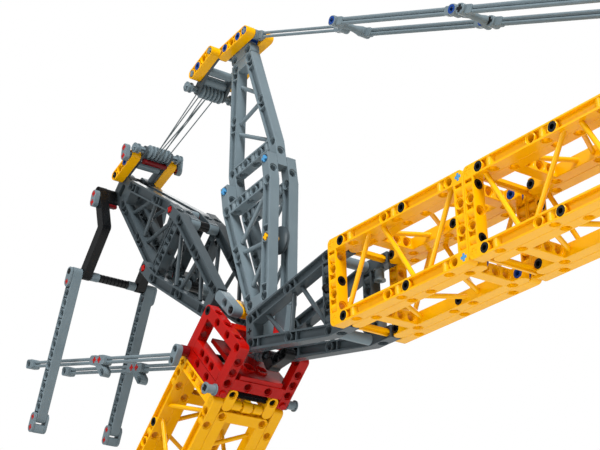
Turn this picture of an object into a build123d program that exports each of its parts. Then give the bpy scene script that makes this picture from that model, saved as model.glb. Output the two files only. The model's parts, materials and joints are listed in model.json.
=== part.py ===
"""Boom head of a toy crawler crane: two masts, their tackle and a luffing jib.

Everything is built on the 8 mm grid of an interlocking building system: beams one module
square with round pin holes, lattice frames, cross axles, connectors and half bushes.
Origin: middle of the lower end of the boom section. +X along the jib, +Y to the left side
of the crane, +Z up. Unless a name says otherwise, places in tables are in modules.
"""
import os
from math import atan2, cos, degrees, hypot, radians, sin

from build123d import *

# ---- driving dimensions ----
M = 8.0                     # module: hole pitch and beam width
HOLE_R = 2.4                # pin hole
AXLE_PLAY = 0.05            # between an axle and its hole, all round
AXLE_R = HOLE_R - AXLE_PLAY
RIM_R = 3.1                 # counterbore round a pin hole
RIM_DEEP = 0.8
TUBE_R = 3.5                # tubes and bushes on the axles
CHANNEL_WIDE = 4.2          # recess along a chord, on both faces
CHANNEL_DEEP = 1.4
STRUT_R = 1.5               # round lattice struts
ROD_R = 1.5                 # stay and pendant rods
GAP = 0.2                   # side clearance of a piece that turns beside another
FULL = M                    # depth of a beam that seats against its neighbours
SLIM = M - 2 * GAP          # depth of a beam that turns beside another
WIDE = M + 2 * GAP          # depth of a beam that fills the space between two slim ones

BOOM_ANGLE = 42.0           # boom above the horizontal
REAR_ANGLE = 133.6          # rear mast, counted from +X towards +Z
FRONT_ANGLE = 97.0          # front mast
PENDANT_ANGLE = 165.2       # boom pendants
BACK_ANGLE = 244.5          # backstay beams

SECTION_LEN = 14            # lattice section: first to last hole
SECTION_HALF = 3            # chord lines of a section, from its middle
HEAD_RISE = 5               # top bar of the boom head, above the section's last hole
JIB_SECTIONS = 3
FOOT_LEN = 10               # tapered frame: narrow end to wide crossbar
EAR_LEN = 2                 # ears beyond the wide crossbar

# pivots, as (along, up) from the middle of the head's top beam
JIB_PIVOT_OFFSET = (1.3, -2.26)     # shared by the jib and the front mast
REAR_PIVOT_OFFSET = (1.14, 1.52)

SECTION_HOLES = (0, 1, 6, 8, SECTION_LEN - 1, SECTION_LEN)          # across the crane
SECTION_CHANNELS = ((3, 5), (9, SECTION_LEN - 3))                   # (from, to) along a chord
CHORD_HOLES = (2, 7, SECTION_LEN - 2)                               # through a side's chords, in its plane
PANEL_BARS = (3, SECTION_LEN - 1)                                   # crossbars of a panel
PANEL_HOLES = (3, 7, 9, SECTION_LEN - 1)                            # through a panel's chords
PANEL_CROSS_HOLES = (1, 8)                                          # across a panel's chords
SIDE_STRUTS = ((1.1, 3.9), (8.6, 5.4), (10.0, 12.8))        # (along at low chord, at high chord)
PANEL_STRUTS = ((5.5, 3.9), (6.9, 8.8), (11.6, 10.0))       # (along at right chord, at left chord)
TAPER_STRUTS = ((0.19, 0.38), (0.54, 0.49), (0.64, 0.94))   # the same, as shares of FOOT_LEN

HEAD_ROW = SECTION_LEN + HEAD_RISE
HEAD_START = HEAD_ROW - 4   # lowest bar of the head's sides
WIDTH = 2 * SECTION_HALF + 1

os.makedirs("parts", exist_ok=True)


# ---- frames of reference ----
def plane_at(place, angle, y):
    """Vertical plane through place = (x, z) in modules: local x at the angle, local z to -Y."""
    turn = radians(angle)
    origin = (place[0] * M, y * M, place[1] * M)
    return Plane(origin=origin, x_dir=(cos(turn), 0, sin(turn)), z_dir=(0, -1, 0))


def shifted(place, angle, along, up=0.0):
    """The place reached from place by going along the angle and then to its left."""
    turn = radians(angle)
    return (place[0] + along * cos(turn) - up * sin(turn), place[1] + along * sin(turn) + up * cos(turn))


def cross_plane(place, y):
    """Plane whose normal is +Y, for axles and tubes that run across the crane."""
    return Plane(origin=(place[0] * M, y * M, place[1] * M), x_dir=(1, 0, 0), z_dir=(0, 1, 0))


def save(builder, name):
    builder.part.label = name
    export_step(builder.part, f"parts/{name}.step")


# ---- forms shared by many pieces; each adds to the part being built ----
def round_bar(start, end, y_start, y_end, radius):
    """Round bar between two places (x, z) in modules, at two places across in modules."""
    a = Vector(start[0] * M, y_start * M, start[1] * M)
    b = Vector(end[0] * M, y_end * M, end[1] * M)
    with BuildSketch(Plane(origin=a, z_dir=b - a)) as profile:
        Circle(radius)
    extrude(profile.sketch, amount=(b - a).length)


def drill(start, end, y_start, y_end, radius=HOLE_R):
    """Straight hole between two places, as round_bar makes a bar."""
    a = Vector(start[0] * M, y_start * M, start[1] * M)
    b = Vector(end[0] * M, y_end * M, end[1] * M)
    with BuildSketch(Plane(origin=a, z_dir=b - a)) as profile:
        Circle(radius)
    extrude(profile.sketch, amount=(b - a).length, mode=Mode.SUBTRACT)


def countersunk(place, angle, y, depth, spots):
    """Pin holes with a counterbore on both faces, at spots = (along, up) from the place."""
    with BuildSketch(plane_at(place, angle, y)) as holes:
        with Locations(*[(s * M, w * M) for s, w in spots]):
            Circle(HOLE_R)
    extrude(holes.sketch, amount=depth / 2, both=True, mode=Mode.SUBTRACT)
    for face in (-1, 1):
        with BuildSketch(plane_at(place, angle, y).offset(face * depth / 2)) as rims:
            with Locations(*[(s * M, w * M) for s, w in spots]):
                Circle(RIM_R)
        extrude(rims.sketch, amount=-face * RIM_DEEP, mode=Mode.SUBTRACT)


def axle(place, y_low, y_high, radius=AXLE_R):
    """Round axle across the crane."""
    with BuildSketch(cross_plane(place, y_low)) as profile:
        Circle(radius)
    extrude(profile.sketch, amount=(y_high - y_low) * M)


def tube(place, y_low, y_high, outer, inner):
    """Tube or bush across the crane."""
    with BuildSketch(cross_plane(place, y_low)) as profile:
        Circle(outer)
        Circle(inner, mode=Mode.SUBTRACT)
    extrude(profile.sketch, amount=(y_high - y_low) * M)


def liftarm(place, angle, y, first, last, holes, depth=FULL, up=0.0):
    """Straight round-ended beam along the angle, from hole first to hole last."""
    with BuildSketch(plane_at(place, angle, y)) as profile:
        with Locations(((first + last) / 2 * M, up * M)):
            SlotOverall((last - first + 1) * M, M)
    extrude(profile.sketch, amount=depth / 2, both=True)
    countersunk(place, angle, y, depth, [(hole, up) for hole in holes])


def connector(place, angle, y, low, high, holes, depth=SLIM):
    """Square-ended block along the angle, from low to high, with cross holes."""
    with BuildSketch(plane_at(place, angle, y)) as profile:
        with Locations(((low + high) / 2 * M, 0)):
            Rectangle((high - low) * M, M)
        with Locations(*[(hole * M, 0) for hole in holes]):
            Circle(HOLE_R, mode=Mode.SUBTRACT)
    extrude(profile.sketch, amount=depth / 2, both=True)


def side_frame(place, angle, y, mirrored, inverted):
    """Lattice side of a section: 15 long, 7 tall, chords, end bars and three round struts.

    It can be turned end for end (mirrored) and upside down (inverted)."""
    middle = SECTION_LEN / 2
    with BuildSketch(plane_at(place, angle, y)) as profile:
        with Locations((middle * M, 0)):
            RectangleRounded((SECTION_LEN + 1) * M, WIDTH * M, M / 3)
            Rectangle((SECTION_LEN - 1) * M, (WIDTH - 2) * M, mode=Mode.SUBTRACT)
    extrude(profile.sketch, amount=FULL / 2, both=True)
    chords = (-SECTION_HALF, SECTION_HALF)
    for face in (-1, 1):
        with BuildSketch(plane_at(place, angle, y).offset(face * FULL / 2)) as channels:
            for begin, end in SECTION_CHANNELS:
                with Locations(*[((begin + end) / 2 * M, w * M) for w in chords]):
                    Rectangle((end - begin + 1) * M, CHANNEL_WIDE)
        extrude(channels.sketch, amount=-face * CHANNEL_DEEP, mode=Mode.SUBTRACT)
    bar_holes = [(s, w) for s in (0, SECTION_LEN) for w in (-1, 1)]
    countersunk(place, angle, y, FULL, [(s, w) for s in SECTION_HOLES for w in chords] + bar_holes)
    inner = SECTION_HALF - 0.5
    outer = SECTION_HALF + 0.5
    for s in CHORD_HOLES:
        drill(shifted(place, angle, s, -outer), shifted(place, angle, s, -inner), y, y)
        drill(shifted(place, angle, s, inner), shifted(place, angle, s, outer), y, y)
    for w in (-2, 0, 2):
        drill(shifted(place, angle, -0.5, w), shifted(place, angle, 0.5, w), y, y)
        drill(shifted(place, angle, SECTION_LEN - 0.5, w), shifted(place, angle, SECTION_LEN + 0.5, w), y, y)
    sink = 0.05             # how far a strut's end runs into its chord
    for low, high in SIDE_STRUTS:
        if inverted:
            low, high = high, low
        if mirrored:
            low, high = SECTION_LEN - low, SECTION_LEN - high
        round_bar(shifted(place, angle, low, -inner - sink), shifted(place, angle, high, inner + sink), y, y,
                  STRUT_R)


def panel(place, angle, up, first, mirrored, turned_over, bore):
    """Lattice panel between two sides: chords from first on, two crossbars, three round struts.

    It can be turned end for end (mirrored) and turned over. The bore crosses both chords."""
    turn = radians(angle)
    base = shifted(place, angle, 0, up)
    flat = Plane(origin=(base[0] * M, 0, base[1] * M), x_dir=(cos(turn), 0, sin(turn)),
                 z_dir=(-sin(turn), 0, cos(turn)))

    def along(own):
        return SECTION_LEN - own if mirrored else own

    chord_y = SECTION_HALF - 1
    half = 0.5
    with BuildSketch(flat) as profile:
        with Locations(*[(along(first + SECTION_LEN / 2) * M, y * M) for y in (-chord_y, chord_y)]):
            SlotOverall(SECTION_LEN * M, M)
        with Locations(*[(along(bar) * M, 0) for bar in PANEL_BARS]):
            Rectangle(M, 2 * chord_y * M)
        with Locations(*[(along(s) * M, y * M) for s in PANEL_HOLES for y in (-chord_y, chord_y)]):
            Circle(HOLE_R, mode=Mode.SUBTRACT)
    extrude(profile.sketch, amount=FULL / 2, both=True)
    for bar in PANEL_BARS:
        for y in (-1, 0, 1):
            drill(shifted(base, angle, along(bar) - half), shifted(base, angle, along(bar) + half), y, y)
    for s in [along(own) for own in PANEL_CROSS_HOLES] + [bore]:
        for side in (-1, 1):
            across = shifted(base, angle, s)
            drill(across, across, side * (chord_y - half), side * (chord_y + half))
    inner = chord_y - 0.55
    for right, left in PANEL_STRUTS:
        if turned_over:
            right, left = left, right
        start, end = shifted(base, angle, along(right)), shifted(base, angle, along(left))
        round_bar(start, end, -inner, inner, STRUT_R)


def tapered_frame(place, angle, y, flip, depth):
    """Tapered lattice frame: 3 wide at hole 0, 7 wide at hole 10, then two ears to hole 12.

    flip = -1 runs it backwards, with its narrow end away from the pivot."""
    reach = FOOT_LEN + EAR_LEN
    half = 0.5
    wide = SECTION_HALF + half
    inside = SECTION_HALF - half
    outer = [(-half, 1.5), (FOOT_LEN, wide), (reach + half, wide), (reach + half, inside),
             (FOOT_LEN + half, inside), (FOOT_LEN + half, -inside), (reach + half, -inside),
             (reach + half, -wide), (FOOT_LEN, -wide), (-half, -1.5)]
    window = [(half, 0.6), (FOOT_LEN - half, inside - 0.1), (FOOT_LEN - half, 0.1 - inside), (half, -0.6)]
    with BuildSketch(plane_at(place, angle, y)) as profile:
        with BuildLine():
            Polyline(*[(flip * s * M, w * M) for s, w in outer], close=True)
        make_face()
        with BuildLine():
            Polyline(*[(flip * s * M, w * M) for s, w in window], close=True)
        make_face(mode=Mode.SUBTRACT)
    extrude(profile.sketch, amount=depth / 2, both=True)

    def chord(s):
        return 1 + (SECTION_HALF - 1) * s / FOOT_LEN

    lip = CHANNEL_WIDE / 2 / M
    middle = FOOT_LEN / 2
    for face in (-1, 1):
        with BuildSketch(plane_at(place, angle, y).offset(face * depth / 2)) as channels:
            for begin, end in ((1, middle - 1), (middle + 1, FOOT_LEN - 1)):
                for side in (-1, 1):
                    corners = [(begin, -lip), (end, -lip), (end, lip), (begin, lip)]
                    with BuildLine():
                        Polyline(*[(flip * s * M, side * (chord(s) + w) * M) for s, w in corners], close=True)
                    make_face()
        extrude(channels.sketch, amount=-face * CHANNEL_DEEP, mode=Mode.SUBTRACT)
    rows = (0, middle, FOOT_LEN)
    spots = [(flip * s, side * chord(s)) for s in rows for side in (-1, 1)]
    spots += [(flip * reach, side * SECTION_HALF) for side in (-1, 1)]
    countersunk(place, angle, y, depth, spots)
    for side in (-1, 1):
        ear = flip * (FOOT_LEN + 1)
        drill(shifted(place, angle, ear, side * inside), shifted(place, angle, ear, side * wide), y, y)
    for w in (-1, 0, 1):
        bar = flip * FOOT_LEN
        drill(shifted(place, angle, bar - half, w), shifted(place, angle, bar + half, w), y, y)
    for left_share, right_share in TAPER_STRUTS:
        left = left_share * FOOT_LEN
        right = right_share * FOOT_LEN
        start = shifted(place, angle, flip * left, chord(left) - 0.45)
        end = shifted(place, angle, flip * right, 0.45 - chord(right))
        round_bar(start, end, y, y, STRUT_R)


def turned(place, profile):
    """Form turned about an axle: profile = (radius in mm, place across the crane in modules)."""
    centre = (place[0] * M, 0, place[1] * M)
    with BuildSketch(Plane(origin=centre, x_dir=(1, 0, 0), z_dir=(0, 0, 1))) as half:
        with BuildLine():
            Polyline(*[(radius, across * M) for radius, across in profile], close=True)
        make_face()
    revolve(half.sketch, axis=Axis(centre, (0, 1, 0)))


def sheave_stack(place, half_width, count, outer):
    """Row of grooved half bushes on one axle: each is a hub disc between two flanges."""
    pitch = 2 * half_width / count
    groove = outer - 1.3
    profile = [(0, -half_width)]
    for index in range(count):
        low = index * pitch - half_width
        profile += [(outer, low), (outer, low + 0.25 * pitch), (groove, low + 0.45 * pitch),
                    (groove, low + 0.55 * pitch), (outer, low + 0.75 * pitch)]
    turned(place, profile + [(outer, half_width), (0, half_width)])


# ---- places that the rest hangs on ----
ORIGIN = (0.0, 0.0)
LUG_FOOT = shifted(ORIGIN, BOOM_ANGLE, HEAD_ROW)
JIB_PIVOT = shifted(LUG_FOOT, BOOM_ANGLE, *JIB_PIVOT_OFFSET)
REAR_PIVOT = shifted(LUG_FOOT, BOOM_ANGLE, *REAR_PIVOT_OFFSET)

# ---- boom section and head ----
for name, y in (("boom_side_right", -SECTION_HALF), ("boom_side_left", SECTION_HALF)):
    with BuildPart() as boom_side:
        side_frame(ORIGIN, BOOM_ANGLE, y, mirrored=False, inverted=True)
    save(boom_side, name)
with BuildPart() as boom_panels:
    panel(ORIGIN, BOOM_ANGLE, -SECTION_HALF, first=-0.5, mirrored=False, turned_over=True, bore=0)
    panel(ORIGIN, BOOM_ANGLE, SECTION_HALF, first=0.5, mirrored=True, turned_over=False, bore=0)
save(boom_panels, "boom_panels")

# ears and tubes that carry the head at the front of the section
BOOM_TOP = shifted(ORIGIN, BOOM_ANGLE, SECTION_LEN, -SECTION_HALF)
with BuildPart() as boom_ears:
    for y in (1 - SECTION_HALF, SECTION_HALF - 1):
        liftarm(BOOM_TOP, BOOM_ANGLE, y, 0, 1, (0, 1))
    for side in (-1, 1):
        tube(BOOM_TOP, *sorted((side * 0.1, side * (SECTION_HALF - 1.5 - GAP / M))), TUBE_R, AXLE_R)
save(boom_ears, "boom_ears")

HEAD_HOLES = [(HEAD_ROW, w) for w in (-SECTION_HALF, -1, 1, SECTION_HALF)]
HEAD_HOLES += [(HEAD_START, w) for w in (-SECTION_HALF, -1, 1, SECTION_HALF)]
for name, y in (("head_side_right", -SECTION_HALF), ("head_side_left", SECTION_HALF)):
    with BuildPart() as head_side:
        with BuildSketch(plane_at(ORIGIN, BOOM_ANGLE, y)):
            with Locations(((HEAD_START + 2) * M, 0)):
                RectangleRounded(5 * M, WIDTH * M, M / 3)
                Rectangle(3 * M, (WIDTH - 2) * M, mode=Mode.SUBTRACT)
        extrude(amount=SLIM / 2, both=True)
        countersunk(ORIGIN, BOOM_ANGLE, y, SLIM, HEAD_HOLES)
        for row in (1, 2, 3):
            for side in (-1, 1):
                drill(shifted(ORIGIN, BOOM_ANGLE, HEAD_START + row, side * (SECTION_HALF - 0.5)),
                      shifted(ORIGIN, BOOM_ANGLE, HEAD_START + row, side * (SECTION_HALF + 0.5)), y, y)
        for w in (-2, 0, 2):
            for row in (HEAD_START, HEAD_ROW):
                drill(shifted(ORIGIN, BOOM_ANGLE, row - 0.5, w),
                      shifted(ORIGIN, BOOM_ANGLE, row + 0.5, w), y, y)
    save(head_side, name)

with BuildPart() as head_beams:
    for y in (-SECTION_HALF, SECTION_HALF):
        with BuildSketch(plane_at(ORIGIN, BOOM_ANGLE, y)):
            with Locations(((HEAD_START + 1) * M, 0)):
                Rectangle(M, (WIDTH - 2) * M)
        extrude(amount=SLIM / 2, both=True)
        countersunk(ORIGIN, BOOM_ANGLE, y, SLIM, [(HEAD_START + 1, w) for w in (-1, 0, 1)])
save(head_beams, "head_beams")

# front cross panel between the two sides: a beam below, a thin wall with two round openings above
INNER_WIDTH = (WIDTH - 2) * M + 2 * GAP
with BuildPart() as head_panel:
    with BuildSketch(plane_at(ORIGIN, BOOM_ANGLE, 0)):
        with Locations(((HEAD_START + 1) * M, -SECTION_HALF * M)):
            Rectangle(M, M)
        with Locations(((HEAD_START + 2.5) * M, -(SECTION_HALF + 0.25) * M)):
            Rectangle(2 * M, M / 2)
    extrude(amount=INNER_WIDTH / 2, both=True)
    for row, y, radius in ((1, -1, HOLE_R), (1, 1, HOLE_R), (2.4, -1.5, 0.55 * M), (2.4, 1.5, 0.55 * M)):
        drill(shifted(ORIGIN, BOOM_ANGLE, HEAD_START + row, -SECTION_HALF + 0.5),
              shifted(ORIGIN, BOOM_ANGLE, HEAD_START + row, -SECTION_HALF - 0.5), y, y, radius)
save(head_panel, "head_panel")

# top cross beam and the lug that stands on it and carries both pivots
with BuildPart() as pivot_lug:
    with BuildSketch(plane_at(LUG_FOOT, BOOM_ANGLE, 0)):
        Rectangle(M, M)
    extrude(amount=INNER_WIDTH / 2, both=True)
    with BuildSketch(plane_at(ORIGIN, 0, 0)):
        with Locations(*[(place[0] * M, place[1] * M) for place in (JIB_PIVOT, REAR_PIVOT, LUG_FOOT)]):
            Circle(0.5 * M)
        make_hull()
        with Locations(*[(place[0] * M, place[1] * M) for place in (JIB_PIVOT, REAR_PIVOT)]):
            Circle(AXLE_R, mode=Mode.SUBTRACT)
    extrude(amount=SLIM / 2, both=True)
save(pivot_lug, "pivot_lug")

# axles: both pivots, the section's top, the head's lower front corner, the pendants' corner
HEAD_CORNER = shifted(ORIGIN, BOOM_ANGLE, HEAD_START, -SECTION_HALF)
PENDANT_PLACE = shifted(ORIGIN, BOOM_ANGLE, HEAD_START, SECTION_HALF)
BUSH_END = SECTION_HALF + 1.5
with BuildPart() as boom_axles:
    for place in (JIB_PIVOT, REAR_PIVOT):
        axle(place, 0.5 - SECTION_HALF, SECTION_HALF - 0.5)
    axle(BOOM_TOP, -SECTION_HALF - 0.5, SECTION_HALF + 0.5)
    axle(HEAD_CORNER, -BUSH_END - 0.1, BUSH_END + 0.1)
    axle(PENDANT_PLACE, -SECTION_HALF - 0.5, SECTION_HALF + 0.5)
save(boom_axles, "boom_axles")
with BuildPart() as head_bushes:
    flange_r = TUBE_R + 0.5
    waist_r = TUBE_R - 0.6
    for side in (-1, 1):
        inside = side * (BUSH_END - 1 + GAP / M)
        outside = side * BUSH_END
        lip = side * 0.2
        turned(HEAD_CORNER, [(AXLE_R, inside), (flange_r, inside), (flange_r, inside + lip),
                             (waist_r, inside + lip), (waist_r, outside - lip), (flange_r, outside - lip),
                             (flange_r, outside), (AXLE_R, outside)])
save(head_bushes, "head_bushes")

# ---- jib: foot, three sections, head ----
JIB_START = (JIB_PIVOT[0] + FOOT_LEN + EAR_LEN, JIB_PIVOT[1])
for name, y in (("jib_foot_right", 1 - SECTION_HALF), ("jib_foot_left", SECTION_HALF - 1)):
    with BuildPart() as jib_foot:
        tapered_frame(JIB_PIVOT, 0, y, 1, FULL)
        with BuildSketch(plane_at(JIB_PIVOT, 0, y)):
            Circle(HOLE_R)
        extrude(amount=FULL, both=True, mode=Mode.SUBTRACT)
    save(jib_foot, name)

with BuildPart() as jib_foot_ties:
    for up in (-SECTION_HALF, SECTION_HALF):
        tube(shifted(JIB_PIVOT, 0, FOOT_LEN, up), 1.5 - SECTION_HALF, SECTION_HALF - 1.5, TUBE_R, AXLE_R)
save(jib_foot_ties, "jib_foot_ties")

for number in range(JIB_SECTIONS):
    start = (JIB_START[0] + number * (SECTION_LEN + 1), JIB_START[1])
    mirrored = number % 2 == 1
    for side, y in (("right", -SECTION_HALF), ("left", SECTION_HALF)):
        with BuildPart() as jib_side:
            side_frame(start, 0, y, mirrored, inverted=False)
        save(jib_side, f"jib{number + 1}_side_{side}")
    with BuildPart() as jib_panels:
        for up in (-SECTION_HALF, SECTION_HALF):
            panel(start, 0, up, first=0.5, mirrored=False, turned_over=up > 0, bore=SECTION_LEN)
            axle(shifted(start, 0, 0, up), -SECTION_HALF - 0.5, SECTION_HALF + 0.5)
    save(jib_panels, f"jib{number + 1}_panels")

with BuildPart() as section_axles:
    for number in range(JIB_SECTIONS):
        last_hole = (JIB_START[0] + number * (SECTION_LEN + 1) + SECTION_LEN, JIB_START[1])
        for up in (-SECTION_HALF, SECTION_HALF):
            corner = shifted(last_hole, 0, 0, up)
            axle(corner, -SECTION_HALF - 0.5, 1.5 - SECTION_HALF)
            axle(corner, SECTION_HALF - 1.5, SECTION_HALF + 0.5)
save(section_axles, "jib_section_axles")

JIB_END = (JIB_START[0] + JIB_SECTIONS * (SECTION_LEN + 1) - 1, JIB_START[1])
EYE_ALONG = 2.4             # stay eye and sheave axle, from the last section's end hole
NOSE_ALONG = 5
NOSE_UP = 1
STAY_EYE = shifted(JIB_END, 0, EYE_ALONG, SECTION_HALF)
NOSE = shifted(JIB_END, 0, NOSE_ALONG, NOSE_UP)
SHEAVE_R = 12.0             # sheave at the jib's head
SHEAVE_GROOVE_R = 9.0
SHEAVE_HALF = 3 / 8         # half width of the sheave, of its groove's mouth and of its floor, in modules
SHEAVE_LIP = 2 / 8
SHEAVE_FLOOR = 0.6 / 8
top = SECTION_HALF + 0.5
tip = NOSE_ALONG + 0.5
with BuildPart() as jib_head:
    for y in (1 - SECTION_HALF, SECTION_HALF - 1):
        with BuildSketch(plane_at(JIB_END, 0, y)):
            with BuildLine():
                outline = [(0.5, -top), (0.5, top), (EYE_ALONG + 0.5, top), (tip, NOSE_UP + 0.7),
                           (tip, NOSE_UP - 0.7), (1.5, -top)]
                Polyline(*[(s * M, w * M) for s, w in outline], close=True)
            make_face()
            with BuildLine():
                opening = [(1.5, 1 - SECTION_HALF), (1.5, SECTION_HALF - 0.8),
                           (EYE_ALONG, SECTION_HALF - 0.8), (NOSE_ALONG - 0.8, NOSE_UP + 0.2),
                           (NOSE_ALONG - 0.8, NOSE_UP - 0.3)]
                Polyline(*[(s * M, w * M) for s, w in opening], close=True)
            make_face(mode=Mode.SUBTRACT)
        extrude(amount=FULL / 2, both=True)
        countersunk(JIB_END, 0, y, FULL, [(EYE_ALONG, SECTION_HALF), (NOSE_ALONG, NOSE_UP)])
    tube(shifted(JIB_END, 0, 1, -SECTION_HALF), 1.5 - SECTION_HALF, SECTION_HALF - 1.5, TUBE_R, AXLE_R)
save(jib_head, "jib_head")
with BuildPart() as jib_head_axles:
    for place in (STAY_EYE, NOSE):
        axle(place, 0.5 - SECTION_HALF, SECTION_HALF - 0.5)
save(jib_head_axles, "jib_head_axles")
with BuildPart() as head_sheave:
    turned(NOSE, [(HOLE_R, -SHEAVE_HALF), (SHEAVE_R, -SHEAVE_HALF), (SHEAVE_R, -SHEAVE_LIP),
                  (SHEAVE_GROOVE_R, -SHEAVE_FLOOR), (SHEAVE_GROOVE_R, SHEAVE_FLOOR), (SHEAVE_R, SHEAVE_LIP),
                  (SHEAVE_R, SHEAVE_HALF), (HOLE_R, SHEAVE_HALF)])
save(head_sheave, "jib_head_sheave")

# ---- front mast ----
FRONT_FOOT = 3              # narrow end of the lower frames, from the pivot
FRONT_TOP = FRONT_FOOT + 2 * FOOT_LEN + 2 * EAR_LEN
CAP = FRONT_TOP + 2         # row of the arms above the mast
CAP_PLACE = shifted(JIB_PIVOT, FRONT_ANGLE, CAP)
ARM_REACH = 2               # end holes of the arms, either side of the mast's middle
STAY_START = shifted(CAP_PLACE, FRONT_ANGLE + 90, -ARM_REACH)
BLOCK_START = shifted(CAP_PLACE, FRONT_ANGLE + 90, ARM_REACH)
PULLEY = shifted(JIB_PIVOT, FRONT_ANGLE, FRONT_FOOT + FOOT_LEN / 2, -(SECTION_HALF + 1) / 2)
for name, y in (("front_mast_low_right", -1), ("front_mast_low_left", 1)):
    with BuildPart() as front_low:
        start = shifted(JIB_PIVOT, FRONT_ANGLE, FRONT_FOOT)
        tapered_frame(start, FRONT_ANGLE, y, 1, SLIM)
        with BuildSketch(plane_at(JIB_PIVOT, FRONT_ANGLE, y)):
            Circle(0.5 * M)
            with Locations((FRONT_FOOT * M, 0)):
                Rectangle(M, 3 * M)
            make_hull()
        extrude(amount=SLIM / 2, both=True)
        countersunk(JIB_PIVOT, FRONT_ANGLE, y, SLIM, [(0, 0), (FRONT_FOOT, 1), (FRONT_FOOT, -1)])
    save(front_low, name)
with BuildPart() as front_high:
    tapered_frame(shifted(JIB_PIVOT, FRONT_ANGLE, FRONT_TOP), FRONT_ANGLE, 0, -1, WIDE)
save(front_high, "front_mast_high")
with BuildPart() as front_ties:
    for up in (-SECTION_HALF, SECTION_HALF):
        axle(shifted(JIB_PIVOT, FRONT_ANGLE, FRONT_FOOT + FOOT_LEN + EAR_LEN, up), -1.6, 1.6)
    axle(STAY_START, -1.5, 1.5)
    axle(BLOCK_START, -2.5, 2.5)
    axle(PULLEY, -1.5, 1.5)
save(front_ties, "front_mast_axles")

CAP_WIDE = 2 * (ARM_REACH - 0.8) * M    # between the stays' and the block's axles
with BuildPart() as front_cap:
    with BuildSketch(plane_at(JIB_PIVOT, FRONT_ANGLE, 0)):
        with Locations(((FRONT_TOP + 1.5) * M, 0)):
            Rectangle(2 * M, CAP_WIDE)
    extrude(amount=FULL / 2, both=True)
    for s in (1, 2):
        drill(shifted(JIB_PIVOT, FRONT_ANGLE, FRONT_TOP + s, -CAP_WIDE / M),
              shifted(JIB_PIVOT, FRONT_ANGLE, FRONT_TOP + s, CAP_WIDE / M), 0, 0)
save(front_cap, "front_mast_cap")
with BuildPart() as mast_arms:
    for y in (-1, 1):
        liftarm(CAP_PLACE, FRONT_ANGLE + 90, y, -ARM_REACH, ARM_REACH, (-ARM_REACH, -1, 0, 1, ARM_REACH))
save(mast_arms, "mast_arms")

# ---- jib stays: paired rods with connectors between them ----
STAY_SPAN = (STAY_EYE[0] - STAY_START[0], STAY_EYE[1] - STAY_START[1])
STAY_LEN = hypot(*STAY_SPAN)
STAY_ANGLE = degrees(atan2(STAY_SPAN[1], STAY_SPAN[0]))
STAY_JOINTS = (13.5, 29.5, 45.5)
ROD_Y = 0.25
with BuildPart() as stay_rods:
    stops = (0,) + STAY_JOINTS + (STAY_LEN,)
    for begin, end in zip(stops[:-1], stops[1:]):
        for y in (-ROD_Y, ROD_Y):
            a = shifted(STAY_START, STAY_ANGLE, begin + 1)
            b = shifted(STAY_START, STAY_ANGLE, end - 1)
            round_bar(a, b, y, y, ROD_R)
save(stay_rods, "jib_stay_rods")
with BuildPart() as stay_links:
    for along in STAY_JOINTS:
        connector(STAY_START, STAY_ANGLE, 0, along - 1, along + 1, (along,))
    liftarm(STAY_START, STAY_ANGLE, 0, 0, 0.5, (0,), SLIM)
    connector(STAY_START, STAY_ANGLE, 0, STAY_LEN - 1, STAY_LEN + 0.5, (STAY_LEN,))
save(stay_links, "jib_stay_links")

# ---- rear mast ----
REAR_FOOT = 3.5             # narrow end, from the pivot; the pivot is on the front chord's line
REAR_BASE = shifted(REAR_PIVOT, REAR_ANGLE, REAR_FOOT, 1)
REAR_WIDE = FOOT_LEN + EAR_LEN
SPACER_LEN = 1.25           # second hole of the spacers between the feet, from the pivot
REAR_TOP = 2 * FOOT_LEN + EAR_LEN
for name, y in (("rear_mast_low_right", -2), ("rear_mast_low_left", 2)):
    with BuildPart() as rear_low:
        tapered_frame(REAR_BASE, REAR_ANGLE, y, 1, FULL)
    save(rear_low, name)
for name, y in (("rear_mast_high_right", -1), ("rear_mast_high_left", 1)):
    with BuildPart() as rear_high:
        tapered_frame(shifted(REAR_BASE, REAR_ANGLE, REAR_TOP), REAR_ANGLE, y, -1, FULL)
    save(rear_high, name)
with BuildPart() as rear_feet:
    for y in (-2, 2):
        liftarm(REAR_PIVOT, REAR_ANGLE, y, 0, REAR_FOOT - 1, (0, SPACER_LEN))
save(rear_feet, "rear_mast_feet")
with BuildPart() as rear_spacers:
    for y in (-1, 1):
        liftarm(REAR_PIVOT, REAR_ANGLE, y, 0, SPACER_LEN, (0, SPACER_LEN))
save(rear_spacers, "rear_mast_spacers")
with BuildPart() as rear_axles:
    for up in (-SECTION_HALF, SECTION_HALF):
        axle(shifted(REAR_BASE, REAR_ANGLE, REAR_WIDE, up), -2.5, 2.5)
save(rear_axles, "rear_mast_axles")
with BuildPart() as rear_tip:
    for y in (-1, 1):
        with BuildSketch(plane_at(shifted(REAR_BASE, REAR_ANGLE, REAR_TOP), REAR_ANGLE, y)):
            with Locations((1.5 * M, 0)):
                RectangleRounded(2 * M, 3 * M, M / 4)
            with Locations((2 * M, M), (2 * M, -M)):
                Circle(HOLE_R, mode=Mode.SUBTRACT)
        extrude(amount=SLIM / 2, both=True)
save(rear_tip, "rear_mast_tip")
TIP_BLOCK = shifted(REAR_BASE, REAR_ANGLE, REAR_TOP + 2, -1)
TIP_LINK = shifted(REAR_BASE, REAR_ANGLE, REAR_TOP + 2, 1)
with BuildPart() as tip_axles:
    axle(TIP_BLOCK, -2.5, 2.5)
    axle(TIP_LINK, -3.5, 3.5)
save(tip_axles, "rear_mast_tip_axles")

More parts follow.
